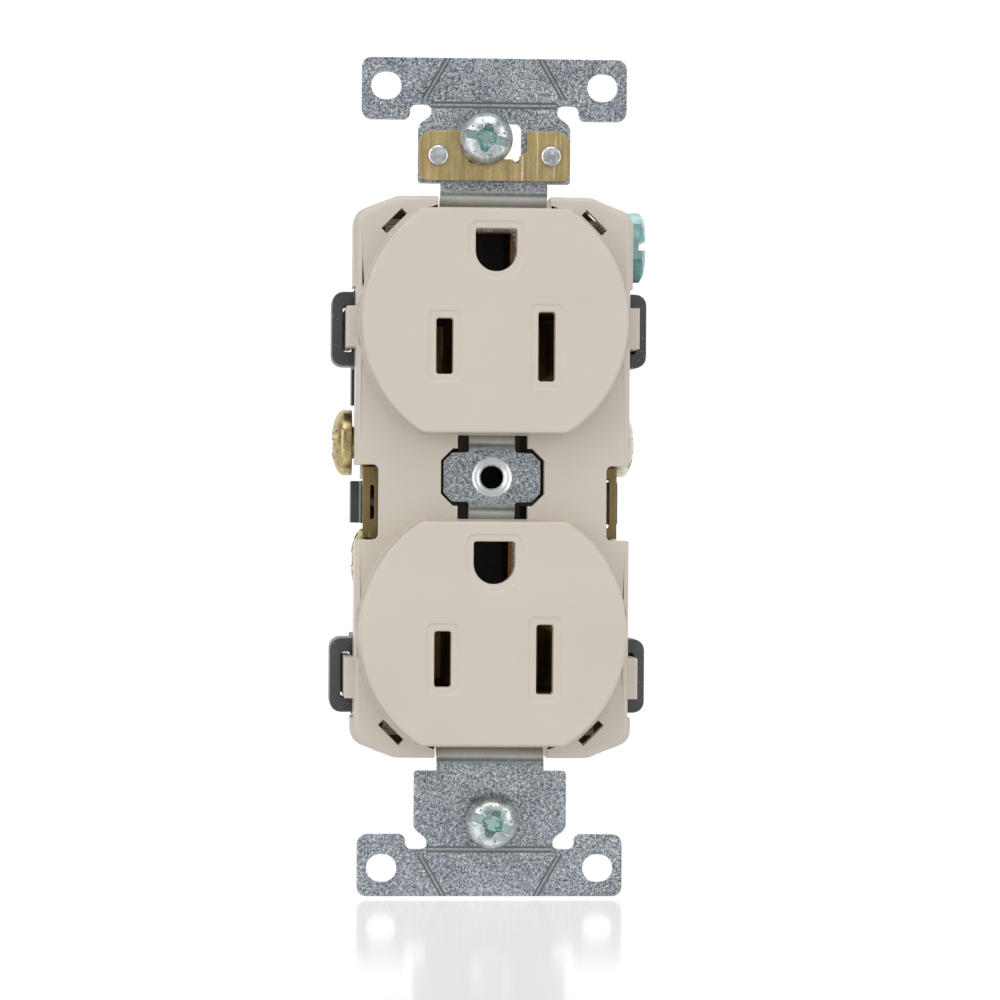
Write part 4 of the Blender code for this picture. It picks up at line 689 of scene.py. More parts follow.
# The buses' brass is a darker copy of the clip's brass: painted shade on the buses.
BRASS_SHEET = BrushedSheet("rolled_brass", "brass_sheet")
CLIP_BRASS = BrushedSheet("clip_brass", "brass_sheet", tone=(0.68, 0.53, 0.27), deep=(0.4, 0.3, 0.14))
BRONZE = BrushedSheet(
    "rolled_bronze",
    "contact_bronze",
    tone=(0.46, 0.24, 0.09),
    deep=(0.22, 0.1, 0.04),
    bright=(0.8, 0.5, 0.24),
)
GOLD_SCREW = PlatedScrew(
    "gold_brass_screw",
    "brass_screw",
    tone=(0.52, 0.415, 0.2),
    deep=(0.25, 0.19, 0.09),
    worn=(0.9, 0.78, 0.46),
    recess=(0.3, 0.17, 0.05),
)
NICKEL_SCREW = PlatedScrew("nickel_plate", "nickel_screw", tone=(0.7, 0.64, 0.52), deep=(0.38, 0.35, 0.28))
GREEN_SCREW = PlatedScrew(
    "green_plate",
    "green_screw",
    tone=(0.36, 0.74, 0.72),
    deep=(0.17, 0.5, 0.49),
    worn=(0.7, 0.95, 0.9),
    metallic=0.45,
    wear=0.6,
)
ZINC_SCREW = PlatedScrew(
    "bright_zinc_screw",
    "zinc_screw",
    tone=(0.58, 0.62, 0.62),
    deep=(0.26, 0.3, 0.31),
    recess=(0.42, 0.62, 0.6),
)
RIVET_ZINC = PlatedScrew("rivet_zinc", "zinc_steel", tone=(0.6, 0.62, 0.64), deep=(0.28, 0.3, 0.32), wear=0.8)
WASHER_FIBRE = Fibre("fibre_washer", "washer_fibre")


# ---- Putting pieces on the frame -----------------------------------------
def body_with(node: str) -> str:
    """The body that holds a node of the frame."""
    groups = frame["record"]["behaviour"]["bodies"]
    return next(body for body, nodes in groups.items() if node in nodes)


def put_on(piece: bpy.types.Object, node: str, finish: Finish) -> bpy.types.Object:
    """Dresses a new piece and lets it stand for a node on that node's body.

    Args:
        piece: The new piece.
        node: The node that it replaces.
        finish: Its finish.

    Returns:
        The same piece.
    """
    piece.data.materials.clear()
    piece.data.materials.append(finish.material())
    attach(piece, body_with(node))
    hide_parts(node)
    LOG.info("%s: %d faces", piece.name, len(piece.data.polygons))
    return piece


def reworked(node: str, name: str, finish: Finish, width: float) -> bpy.types.Object:
    """A piece made from a merged copy of a node, with its edges broken.

    Args:
        node: The node to copy and replace.
        name: The new piece's name.
        finish: Its finish.
        width: How far the broken edge reaches.

    Returns:
        The new piece.
    """
    maker = bmesh.new()
    maker.from_mesh(frame["nodes"][node].data)
    bmesh.ops.remove_doubles(maker, verts=maker.verts, dist=1e-6)
    bmesh.ops.dissolve_limit(maker, angle_limit=radians(0.5), verts=maker.verts, edges=maker.edges)
    data = bpy.data.meshes.new(name)
    maker.to_mesh(data)
    maker.free()
    piece = bpy.data.objects.new(name, data)
    bpy.context.scene.collection.objects.link(piece)
    return put_on(ease(piece, width), node, finish)


# ---- The front cover -----------------------------------------------------
@dataclass
class FrontCover:
    """The plastic cover: a ledge with two raised outlet faces, skirt, latch arms and pad pocket."""

    face_radius: float = 16.7 * MM
    face_half_flat: float = 14.05 * MM
    edge_round: float = 0.7 * MM
    wall: float = 1.4 * MM
    ledge_thickness: float = 1.8 * MM
    face_wall: float = 2.4 * MM
    blade_x: float = 6.35 * MM
    slot_width: float = 2.1 * MM
    hot_height: float = 6.95 * MM
    neutral_height: float = 8.65 * MM
    slot_corner: float = 0.35 * MM
    recess_depth: float = 0.14 * MM
    arm_centres: tuple[float, float] = (18.8 * MM, -25.2 * MM)

    def outline(self, inset: float = 0.0) -> Outline:
        """The cover's rectangle with a sloped shoulder at each corner."""
        half_width = COVER_SIDE - inset
        half_height = COVER_END - inset
        slope = atan2(2.4, 4.9)
        shoulder_x = COVER_SIDE - 4.9 * MM - inset * tan(slope / 2)
        shoulder_z = COVER_END - 2.4 * MM - inset * tan((pi / 2 - slope) / 2)
        quarter = [(shoulder_x, half_height, 3 * MM), (half_width, shoulder_z, 2 * MM - inset)]
        right = quarter + [(u, -v, r) for u, v, r in reversed(quarter)]
        return rounded(mirrored(right))

    def face(self, centre: float, grow: float = 0.0) -> Outline:
        """An outlet face's circle with its flats, grown evenly."""
        scale = 1 + grow / self.face_radius
        reach = asin(self.face_half_flat / self.face_radius)
        steps = 44
        angles = [-reach + 2 * reach * step / steps for step in range(steps + 1)]
        radius = self.face_radius * scale
        right = [(radius * cos(a), centre + radius * sin(a)) for a in angles]
        return right + [(-u, v) for u, v in reversed(right)]

    def ground(self, centre: float, border: float = 0.0) -> Outline:
        """A ground hole: flat at the top and round at the bottom."""
        half = 2.575 * MM + border
        top = centre + 2.75 * MM + border
        steps = 18
        angles = [-pi * step / steps for step in range(steps + 1)]
        arc = [(half * cos(a), centre + half * sin(a)) for a in angles]
        corner = self.slot_corner + border
        crown = rounded([(-half, centre, 0), (-half, top, corner), (half, top, corner), (half, centre, 0)])
        return crown[1:-1] + arc

    def blade_slots(self) -> list[tuple[float, float, float]]:
        """Each blade slot's x, z and height."""
        rows = []
        for blade_z in BLADE_LINES:
            rows.append((-self.blade_x, blade_z, self.hot_height))
            rows.append((self.blade_x, blade_z, self.neutral_height))
        return rows

    def shell(self) -> bpy.types.Object:
        """The solid block of the ledge and skirt, its front edge rounded."""
        rings = []
        for step in range(6):
            angle = pi / 2 * step / 5
            inset = self.edge_round * (1 - sin(angle))
            depth = LEDGE + self.edge_round * (1 - cos(angle))
            rings.append((depth, self.outline(inset)))
        rings.append((COVER_REAR, self.outline()))
        return Solid().loft(rings).shown("front_cover_shell")

    def faces(self) -> Solid:
        """The two raised faces: rounded rims, a slight draft and a hollow fillet at the foot."""
        solid = Solid()
        for centre in FACE_CENTRES:
            rings = []
            for step in range(5):
                angle = pi / 2 * step / 4
                rings.append((FACE + 0.38 * MM * (1 - cos(angle)), 0.38 * MM * (sin(angle) - 1) - 0.1 * MM))
            for step in range(5):
                angle = pi / 2 * step / 4
                rings.append((LEDGE - 0.55 * MM + 0.55 * MM * sin(angle), 0.3 * MM * (1 - cos(angle))))
            rings.append((LEDGE + 0.6 * MM, 0.3 * MM))
            solid.loft([(depth, self.face(centre, grow)) for depth, grow in rings])
        return solid

    def arms(self) -> Solid:
        """Four latch arms with barbs."""
        solid = Solid()
        for centre in self.arm_centres:
            for _, sign in SIDES:
                path = [
                    (16.5 * MM, -22.9 * MM),
                    (18.15 * MM, -22.9 * MM),
                    (18.4 * MM, -22.65 * MM),
                    (18.4 * MM, -6.3 * MM),
                    (19.1 * MM, -6.3 * MM),
                    (18.4 * MM, -5.1 * MM),
                    (17.6 * MM, -5.1 * MM),
                    (17.6 * MM, COVER_REAR),
                    (16.5 * MM, COVER_REAR - 0.3 * MM),
                ]
                outline = [(sign * u, v) for u, v in path]
                solid.prism(outline, centre - 2.55 * MM, centre + 2.55 * MM, Axis.Z)
        return solid

    def lips(self) -> Solid:
        """The skirt's rear edge stands a little wider from the latches to the shoulders."""
        solid = Solid()
        grow = 0.42 * MM
        for up, start in ((1, 23.8 * MM), (-1, 30.2 * MM)):
            rings = []
            for depth, out in ((-21.9 * MM, -0.05 * MM), (-21.5 * MM, grow), (COVER_REAR, grow)):
                side, top = COVER_SIDE + out, COVER_END - 2.4 * MM + out * 0.7
                half = [(side, up * start, 0), (side, up * top, 2 * MM), (12.3 * MM, up * COVER_END, 3 * MM)]
                rings.append((depth, rounded(mirrored(half))))
            solid.loft(rings)
        return solid

    def mark_inside(self, piece: bpy.types.Object) -> None:
        """Notes which points lie on the inner walls, which the finish paints with a glow that stands for light through
        the thin plastic.
        """
        marks = piece.data.attributes.new("inside", "FLOAT", "POINT")
        for vert, mark in zip(piece.data.vertices, marks.data):
            x, y, z = abs(vert.co.x), vert.co.y, vert.co.z
            behind_face = any(
                (vert.co.xz - Vector((0, centre))).length < self.face_radius - 1.5 * MM
                and abs(z - centre) < self.face_half_flat - 1 * MM
                for centre in FACE_CENTRES
            )
            within = x < COVER_SIDE - 1 * MM and 0.44 * x + 0.898 * abs(z) < 36 * MM and abs(z) < COVER_END - 1 * MM
            start = FACE + 1.5 * MM if behind_face else LEDGE + 1.2 * MM
            mark.value = 1.0 if within and start < y < COVER_REAR - 0.3 * MM else 0.0

    def hollows(self) -> list[Solid]:
        """What is hollowed out behind the ledge and behind the faces."""
        behind = COVER_REAR + 1 * MM
        shell = Solid().prism(self.outline(self.wall), LEDGE + self.ledge_thickness, behind)
        discs = Solid()
        for centre in FACE_CENTRES:
            discs.prism(self.face(centre, -self.face_wall), FACE + self.face_wall, behind)
        return [shell, discs]

    def side_cuts(self) -> list[Solid]:
        """Notches for the links and the necks, corner slots and the ground terminal's room."""
        front = LEDGE - 1 * MM
        behind = COVER_REAR + 1 * MM
        notches = Solid()
        for _, sign in SIDES:
            notch = rectangle(sign * 16.75 * MM, LINK_HEIGHT, 4.9 * MM, 9.4 * MM, 0.7 * MM)
            notches.prism(notch, front, behind)
        necks = Solid()
        slots = Solid()
        for _, up in ENDS:
            low = (-7.05 * MM, front, up * 33.8 * MM)
            necks.box(low, (7.05 * MM, behind, up * 36.2 * MM))
            for _, sign in SIDES:
                reach = 17.75 * MM / 2**0.5
                place = Matrix.Translation((sign * reach, 0, up * (19.45 * MM + reach)))
                turn = place @ Matrix.Rotation(sign * up * radians(45), 4, "Y")
                half = (1.8 * MM, 0.475 * MM)
                slots.box((-half[0], front, -half[1]), (half[0], LEDGE + 2.3 * MM, half[1]), turn)
        room = Solid().box((13.4 * MM, -17.2 * MM, 25 * MM), (34.4 * MM, behind, 32.9 * MM))
        return [notches, necks, slots, room]

    def openings(self) -> list[Solid]:
        """Blade slots and ground holes with their shallow recesses, and the pad's pocket."""
        front = FACE - 1 * MM
        floor = FACE + self.recess_depth
        behind = FACE + self.face_wall + 1 * MM
        recesses = Solid()
        slots = Solid()
        for x, z, height in self.blade_slots():
            for border, depth, last in ((0.98, FACE, 0.86),):
                wide = 2 * border * MM
                tight = 2 * last * MM
                rings = [
                    (front, rectangle(x, z, self.slot_width + wide, height + wide, 0.75 * MM)),
                    (depth, rectangle(x, z, self.slot_width + wide, height + wide, 0.75 * MM)),
                    (floor, rectangle(x, z, self.slot_width + tight, height + tight, 0.63 * MM)),
                ]
                recesses.loft(rings)
            mouth = rectangle(x, z, self.slot_width + 0.24 * MM, height + 0.24 * MM, self.slot_corner + 0.12 * MM)
            slot = rectangle(x, z, self.slot_width, height, self.slot_corner)
            slots.loft([(front, mouth), (floor, mouth), (floor + 0.12 * MM, slot), (behind, slot)])
        for centre in GROUND_PINS:
            wide, tight = self.ground(centre, 0.98 * MM), self.ground(centre, 0.86 * MM)
            recesses.loft([(front, wide), (FACE, wide), (floor, tight)])
            mouth, hole = self.ground(centre, 0.12 * MM), self.ground(centre)
            slots.loft([(front, mouth), (floor, mouth), (floor + 0.12 * MM, hole), (behind, hole)])
        quarter = [(5.0 * MM, 3.6 * MM, 0), (6.5 * MM, 2.1 * MM, 0)]
        pocket = rounded(mirrored(quarter + [(u, -v, r) for u, v, r in reversed(quarter)]))
        ledge_front = LEDGE - 1 * MM
        ledge_behind = LEDGE + self.ledge_thickness + 1 * MM
        window = rectangle(0, 0, 8.8 * MM, 10.5 * MM)
        pockets = [Solid().prism(pocket, ledge_front, ledge_behind), Solid().prism(window, ledge_front, ledge_behind)]
        return [recesses, slots, *pockets]

    def build(self) -> bpy.types.Object:
        """The finished cover."""
        steps = [(Operation.JOIN, solid) for solid in (self.faces(), self.arms(), self.lips())]
        for solid in (*self.hollows(), *self.side_cuts(), *self.openings()):
            steps.append((Operation.CUT, solid))
        cover = carve(self.shell(), steps)
        self.mark_inside(cover)
        return ease(cover, 0.08 * MM)

    def dress(self) -> bpy.types.Object:
        """Builds the cover and puts it on the frame."""
        return put_on(self.build(), "front_cover", COVER_PLASTIC)


# ---- The mounting strap and what is fixed to it --------------------------
@dataclass
class MountingStrap:
    """The bent steel strap with its ears, scores, slots, pad and ground terminal."""

    half_height: float = 52.65 * MM
    half_width: float = 16.7 * MM
    bend: float = 1.0 * MM
    neck: float = 6.75 * MM
    bar: float = 2.9 * MM
    score_depth: float = 0.17 * MM

    def profile(self) -> Outline:
        """The strap's centre line seen from the side."""
        outer = STRAP_FRONT + 0.5 * MM
        inner = outer + 4.5 * MM
        half = [
            (outer, self.half_height + 1 * MM, 0),
            (outer, 35.2 * MM, 2.2 * MM),
            (inner, 32.4 * MM, self.bend),
            (inner, 8.2 * MM, self.bend),
            (outer, 4.1 * MM, 2.4 * MM),
        ]
        return rounded(half + [(y, -z, r) for y, z, r in reversed(half)], radians(5))

    def land(self, pin_z: float, from_bar: bool = False) -> list[tuple[float, float, float]]:
        """The wide land around a ground pin."""
        reach = 5.4 * MM
        corners = [(self.neck, pin_z - reach, 0.5 * MM), (self.bar, pin_z - reach, 0.5 * MM)]
        if from_bar:
            top = pin_z + reach - 1.2 * MM
            corners = [(self.bar, top, 0), (self.neck, top, 0.5 * MM)] + corners
        return corners

    def outline(self) -> Outline:
        """The strap's flat outline, wings and pad included."""
        head = [
            (16.7, 52.65, 1.2),
            (16.7, 44.85, 1.2),
            (10.6, 44.85, 0.8),
            (10.6, 46.75, 0.8),
            (7.95, 46.75, 0.8),
            (7.95, 45.45, 0.8),
            (9.6, 44.2, 1.2),
            (9.6, 36.9, 0.4),
            (6.75, 36.9, 0),
        ]
        head = [(u * MM, v * MM, r * MM) for u, v, r in head]
        wing = [(6.75, 32.6), (13.4, 32.6), (13.4, 30.4), (6.75, 30.4)]
        upper = [(u * MM, v * MM, 0) for u, v in wing] + self.land(GROUND_PINS[0])
        pad = [(2.9, 3.1, 0.35), (5.0, 3.1, 0.5), (6.1, 2.0, 0.4), (6.1, -2.0, 0.4), (5.0, -3.1, 0.5), (2.9, -3.1, 0.35)]
        pad = [(u * MM, v * MM, r * MM) for u, v, r in pad]
        foot = [(2.9, -27.4), (6.75, -27.4), (6.75, -30.4), (13.4, -30.4), (13.4, -32.6), (6.75, -32.6)]
        lower = [(u * MM, v * MM, 0) for u, v in foot]
        tail = [(u, -v, r) for u, v, r in reversed(head)]
        half = head + upper + pad + self.land(GROUND_PINS[1], True) + lower + tail
        return rounded(mirrored(half))

    def holes(self) -> list[Solid]:
        """Ear holes, screw slots, pin holes, rivet holes and the pad's drawn and tapped hole."""
        front, rear = STRAP_FRONT - 1 * MM, STRAP_REAR + 1 * MM
        outer = Solid()
        for _, up in ENDS:
            for _, sign in SIDES:
                hole = rectangle(sign * 13.6 * MM, up * 49.1 * MM, 3.8 * MM, 3.5 * MM, 1.74 * MM)
                outer.prism(hole, front, rear)
        outer.prism(rectangle(0, 42.1 * MM, 6.8 * MM, 4.7 * MM, 0.8 * MM), front, rear)
        outer.prism(rectangle(0, -42.8 * MM, 4.6 * MM, 5.1 * MM, 1.85 * MM), front, rear)
        for _, sign in SIDES:
            outer.prism(ring(sign * 7.1 * MM, 40.3 * MM, 1.2 * MM, 24), front, rear)
        rings = [(front, ring(0, 0, 2.66 * MM))]
        for step in range(11):
            reach = step / 10
            sunk = reach * reach * (3 - 2 * reach)
            rings.append((STRAP_FRONT + 0.62 * MM * sunk, ring(0, 0, (2.66 - 1.2 * reach) * MM)))
        rings.append((rear, ring(0, 0, 1.425 * MM)))
        outer.loft(rings)
        inner = Solid()
        ends = (INNER_FRONT - 1 * MM, INNER_REAR + 1 * MM)
        for pin_z in GROUND_PINS:
            inner.prism(rectangle(0, pin_z + 0.1 * MM, 5.6 * MM, 5.8 * MM, 0.8 * MM), *ends)
            for _, sign in SIDES:
                inner.prism(ring(sign * 4.9 * MM, pin_z, 1.05 * MM, 20), *ends)
        return [outer, inner]

    def scores(self) -> list[Solid]:
        """Twin grooves with a ridge between them, and the blank stamped panel."""
        front = STRAP_FRONT - 1 * MM
        floor = STRAP_FRONT + self.score_depth
        crossing, slanted, beds, slopes = Solid(), Solid(), Solid(), Solid()
        for _, up in ENDS:
            beds.prism(rectangle(0, up * 46.75 * MM, 15.7 * MM, 0.56 * MM), front, STRAP_FRONT + 0.045 * MM)
            for shift in (-0.28, 0.28):
                line = rectangle(0, up * (46.75 + shift) * MM, 15.7 * MM, 0.3 * MM)
                crossing.prism(line, front, floor)
            for _, sign in SIDES:
                for shift in (0, -0.28, 0.28):
                    head = (sign * (5.5 + shift) * MM, up * 53.15 * MM)
                    foot = (sign * (8.75 + shift) * MM, up * 47.5 * MM)
                    if shift:
                        slanted.prism(ribbon([head, foot], 0.27 * MM), front, floor)
                    else:
                        slopes.prism(ribbon([head, foot], 0.48 * MM), front, STRAP_FRONT + 0.045 * MM)
        panel = rectangle(0, -38.7 * MM, 10.2 * MM, 2.8 * MM, 0.3 * MM)
        return [beds, slopes, crossing, slanted, Solid().prism(panel, front, STRAP_FRONT + 0.018 * MM)]

    def build(self) -> bpy.types.Object:
        """The finished strap."""
        sheet = Solid().prism(ribbon(self.profile(), 1 * MM), -33.4 * MM, 33.4 * MM, Axis.X)
        strap = sheet.shown("mounting_strap_sheet")
        blank = Solid().prism(self.outline(), STRAP_FRONT - 3 * MM, INNER_REAR + 3 * MM)
        wing = Solid().box((12.4 * MM, INNER_FRONT, 30.4 * MM), (16.6 * MM, INNER_REAR, 32.6 * MM))
        tab = Solid().box((15.6 * MM, INNER_FRONT, 25.3 * MM), (16.6 * MM, -4.6 * MM, 32.6 * MM))
        tapped = Solid().prism(ring(-10.4 * MM, 29.7 * MM, 2.38 * MM), 13.6 * MM, 17.6 * MM, Axis.X)
        steps = [(Operation.KEEP, blank), (Operation.JOIN, wing), (Operation.JOIN, tab), (Operation.CUT, tapped)]
        steps += [(Operation.CUT, solid) for solid in self.holes()]
        plain = ease(carve(strap, steps), 0.04 * MM)
        plain.modifiers.remove(plain.modifiers["even_normals"])
        scored = carve(plain, [(Operation.CUT, solid) for solid in self.scores()])
        return ease(scored, 0.0, merge=1e-6)

    def dress(self) -> bpy.types.Object:
        """Builds the strap and puts it on the frame."""
        return put_on(self.build(), "mounting_strap", ZINC_SHEET)


@dataclass
class GroundingClip:
    """The brass spring clip behind the upper mounting screw, with its two rivets."""

    front: float = -22.1 * MM
    rear: float = -21.7 * MM
    rivet_x: float = 7.1 * MM
    rivet_z: float = 40.3 * MM

    def outline(self) -> Outline:
        """The clip's outline with its opening, slits and tongue."""
        corners = [
            (2.4, 39.95, 0.15),
            (2.4, 39.4, 0.2),
            (3.15, 39.4, 0.3),
            (3.15, 40.3, 0.2),
            (4.05, 40.9, 0.4),
            (4.05, 43.45, 0.15),
            (9.5, 43.45, 1.7),
            (9.5, 37.2, 1.2),
        ]
        return rounded(mirrored([(u * MM, v * MM, r * MM) for u, v, r in corners]))

    def clip(self) -> bpy.types.Object:
        """The clip's sheet, with holes for its rivets."""
        plate = Solid().prism(self.outline(), self.front, self.rear).shown("grounding_clip_sheet")
        holes = Solid()
        for _, sign in SIDES:
            centre = sign * self.rivet_x
            holes.prism(ring(centre, self.rivet_z, 1.2 * MM, 24), self.front - 1 * MM, self.rear + 0.2 * MM)
        return ease(carve(plate, [(Operation.CUT, holes)]), 0.05 * MM)

    def rivet(self, label: str, sign: int) -> bpy.types.Object:
        """One upset rivet with a dimpled head in front and a plain one behind."""
        profile = [
            (0, -0.34),
            (0.5, -0.36),
            (0.82, -0.47),
            (1.05, -0.5),
            (1.2, -0.42),
            (1.27, -0.26),
            (1.27, 0),
            (0.9, 0.02),
            (0.9, 2.78),
            (1.27, 2.8),
            (1.27, 3.1),
            (1.05, 3.28),
            (0, 3.3),
        ]
        solid = Solid().turned([(r * MM, h * MM) for r, h in profile], 32)
        turn = Matrix.Rotation(-pi / 2, 4, "X")
        place = Matrix.Translation((sign * self.rivet_x, -22.4 * MM, self.rivet_z))
        return ease(solid.moved(place @ turn).shown(f"clip_rivet_piece_{label}"), 0.0)

    def dress(self) -> None:
        """Builds the clip and its rivets and puts them on the frame."""
        put_on(self.clip(), "self_grounding_clip", CLIP_BRASS)
        for label, sign in SIDES:
            put_on(self.rivet(label, sign), f"clip_rivet_{label}", RIVET_ZINC)


# ---- Screws --------------------------------------------------------------
class Drive(Enum):
    """The recess in a screw's head."""

    COMBINATION = "combination"
    SLOTTED_HEX = "slotted hex"


@dataclass
class Screw:
    """A machine screw with a threaded shank; its head's underside is at its place."""

    node: str
    finish: Finish
    place: tuple[float, float, float]
    outward: tuple[float, float, float]
    turn: float
    head_radius: float
    head_edge: float
    head_height: float
    shank_radius: float
    shank_length: float
    drive: Drive = Drive.COMBINATION
    pitch: float = 0.79 * MM
    slot_width: float = 1.1 * MM
    slot_depth: float = 0.9 * MM

    def profile(self) -> list[tuple[float, float]]:
        """The turned profile: core, neck, underside and head."""
        core = self.shank_radius - 0.3 * MM
        tip = 0.5 * MM
        points = [(0, -self.shank_length), (core - tip, -self.shank_length), (core, -self.shank_length + tip)]
        points += [(core, -0.5 * MM), (self.shank_radius, -0.25 * MM), (self.shank_radius, 0)]
        if self.drive is Drive.SLOTTED_HEX:
            corner = self.head_radius
            points += [(corner - 0.5 * MM, 0), (corner + 0.1 * MM, 0.5 * MM)]
            points += [(corner + 0.1 * MM, self.head_height - 0.6 * MM), (corner - 0.9 * MM, self.head_height)]
            return points + [(0, self.head_height)]
        dome = self.head_height - self.head_edge
        points += [(self.head_radius - 0.12 * MM, 0), (self.head_radius, 0.12 * MM)]
        steps = 12
        for step in range(steps):
            angle = pi / 2 * step / steps
            points.append((self.head_radius * cos(angle), self.head_edge + dome * sin(angle)))
        return points + [(0, self.head_height)]

    def recess(self) -> list[Solid]:
        """The slot, the tapered cross and the driver's small bite marks."""
        past = self.head_height + 1 * MM
        floor = self.head_height - self.slot_depth
        reach = self.head_radius + 1 * MM
        half = self.slot_width / 2
        slot = Solid().box((-reach, -half, floor), (reach, half, past))
        if self.drive is Drive.SLOTTED_HEX:
            return [slot]
        scale = self.head_radius / (3.35 * MM)
        arm, waist = 1.95 * MM * scale, 0.52 * MM * scale
        top = self.cross(arm, waist)
        deep = self.cross(arm * 0.45, waist * 0.5)
        cross = Solid().loft([(past, top), (self.head_height - 0.1 * MM, top), (floor - 0.7 * MM, deep)], Axis.Z)
        bites = Solid()
        for index in range(8):
            angle = pi / 4 * (index // 2 * 2 + 1) + radians(19) * (-1) ** index
            turn = Matrix.Rotation(angle, 4, "Z")
            tilt = turn @ Matrix.Translation((1.4 * MM * scale, 0, self.head_height - 0.1 * MM))
            tilt = tilt @ Matrix.Rotation(radians(24), 4, "Y")
            size = (1.05 * MM * scale, 0.1 * MM, 0.22 * MM)
            bites.box([-c for c in size], size, tilt)
        return [slot, cross, bites]

    @staticmethod
    def cross(arm: float, waist: float) -> Outline:
        """A cross with slanted inner corners."""
        knee = waist * 1.55
        quarter = [(arm, -waist * 0.8), (arm, waist * 0.8), (knee, knee)]
        outline: Outline = []
        for index in range(4):
            spin = Matrix.Rotation(index * pi / 2, 2)
            outline += [tuple(spin @ Vector(point)) for point in quarter]
        return outline

    def mark_recess(self, piece: bpy.types.Object) -> None:
        """Notes on every point how deep it lies below the head's outside, from 0 to 1."""
        marks = piece.data.attributes.new("sunk", "FLOAT", "POINT")
        dome = self.head_height - self.head_edge
        for vert, mark in zip(piece.data.vertices, marks.data):
            radius = vert.co.xy.length
            within = max(0.0, 1 - (radius / self.head_radius) ** 2)
            outside = self.head_edge + dome * within**0.5
            if self.drive is Drive.SLOTTED_HEX:
                outside = self.head_height
            inside = vert.co.z > self.head_height - self.slot_depth - 0.9 * MM and radius < self.head_radius + 0.2 * MM
            sunk = (outside - vert.co.z) / (0.35 * MM) if inside else 0.0
            mark.value = min(1.0, max(0.0, sunk - 0.2))

    def build(self) -> bpy.types.Object:
        """The finished screw at its place."""
        piece = Solid().turned(self.profile()).shown(f"{self.node}_piece")
        steps = []
        if self.drive is Drive.SLOTTED_HEX:
            angles = [radians(21) + pi / 3 * step for step in range(6)]
            hexagon = [(self.head_radius * cos(a), self.head_radius * sin(a)) for a in angles]
            keep = Solid().prism(hexagon, -self.shank_length - 1 * MM, self.head_height + 1 * MM, Axis.Z)
            steps.append((Operation.KEEP, keep))
        steps += [(Operation.CUT, solid) for solid in self.recess()]
        carve(piece, steps)
        self.mark_recess(piece)
        maker = bmesh.new()
        maker.from_mesh(piece.data)
        core = self.shank_radius - 0.3 * MM
        start = -self.shank_length + 0.9 * MM
        thread = Solid().thread(core, self.shank_radius, start, -0.7 * MM, self.pitch)
        rotation = Vector(self.outward).to_track_quat("Z", "Y").to_matrix().to_4x4()
        place = Matrix.Translation(self.place) @ rotation @ Matrix.Rotation(self.turn, 4, "Z")
        bmesh.ops.recalc_face_normals(thread.mesh, faces=thread.mesh.faces)
        ridge = bpy.data.meshes.new("thread")
        thread.mesh.to_mesh(ridge)
        thread.mesh.free()
        maker.from_mesh(ridge)
        bmesh.ops.transform(maker, matrix=place, verts=maker.verts)
        maker.to_mesh(piece.data)
        maker.free()
        bpy.data.meshes.remove(ridge)
        return ease(piece, 0.03 * MM, angle=46.0)

    def dress(self) -> bpy.types.Object:
        """Builds the screw and puts it on the frame."""
        return put_on(self.build(), self.node, self.finish)


@dataclass
class ScrewSet:
    """Every screw of the outlet."""

    terminal_z: tuple[float, float] = (4.4 * MM, -10.8 * MM)
    terminal_y: float = -9.5 * MM

    def screws(self) -> list[Screw]:
        """The screws with their places and turns."""
        head = (4.2 * MM, 1.0 * MM, 2.6 * MM, 2.08 * MM, 6.2 * MM)
        left, right = (-1, 0, 0), (1, 0, 0)
        y = self.terminal_y
        top, low = self.terminal_z
        mounting = (3.35 * MM, 0.3 * MM, 2.2 * MM, 1.7 * MM, 19 * MM)
        hex_head = (7.94 * MM / 2 / cos(pi / 6), 0.5 * MM, 3.0 * MM, 2.08 * MM, 6.2 * MM)
        rows = [
            ("brass_terminal_screw_upper", GOLD_SCREW, (-17.35 * MM, y, top), left, 20, head),
            ("brass_terminal_screw_lower", GOLD_SCREW, (-14.8 * MM, y, low), left, 75, head),
            ("silver_terminal_screw_upper", NICKEL_SCREW, (16.4 * MM, y, top), right, 50, head),
            ("silver_terminal_screw_lower", NICKEL_SCREW, (14.8 * MM, y, low), right, -15, head),
            ("mounting_screw_upper", ZINC_SCREW, (-1.1 * MM, -22.7 * MM, 42.4 * MM), (0, -1, 0), -12, mounting),
            ("mounting_screw_lower", ZINC_SCREW, (0.2 * MM, -22.7 * MM, -43.3 * MM), (0, -1, 0), -20, mounting),
        ]
        made = [Screw(node, finish, place, out, radians(turn), *sizes) for node, finish, place, out, turn, sizes in rows]
        place = (16.9 * MM, -10.4 * MM, 29.7 * MM)
        made.append(Screw("ground_screw", GREEN_SCREW, place, right, 0.0, *hex_head, Drive.SLOTTED_HEX))
        return made

    def dress(self) -> None:
        """Builds the screws and puts them on the frame."""
        for screw in self.screws():
            screw.dress()


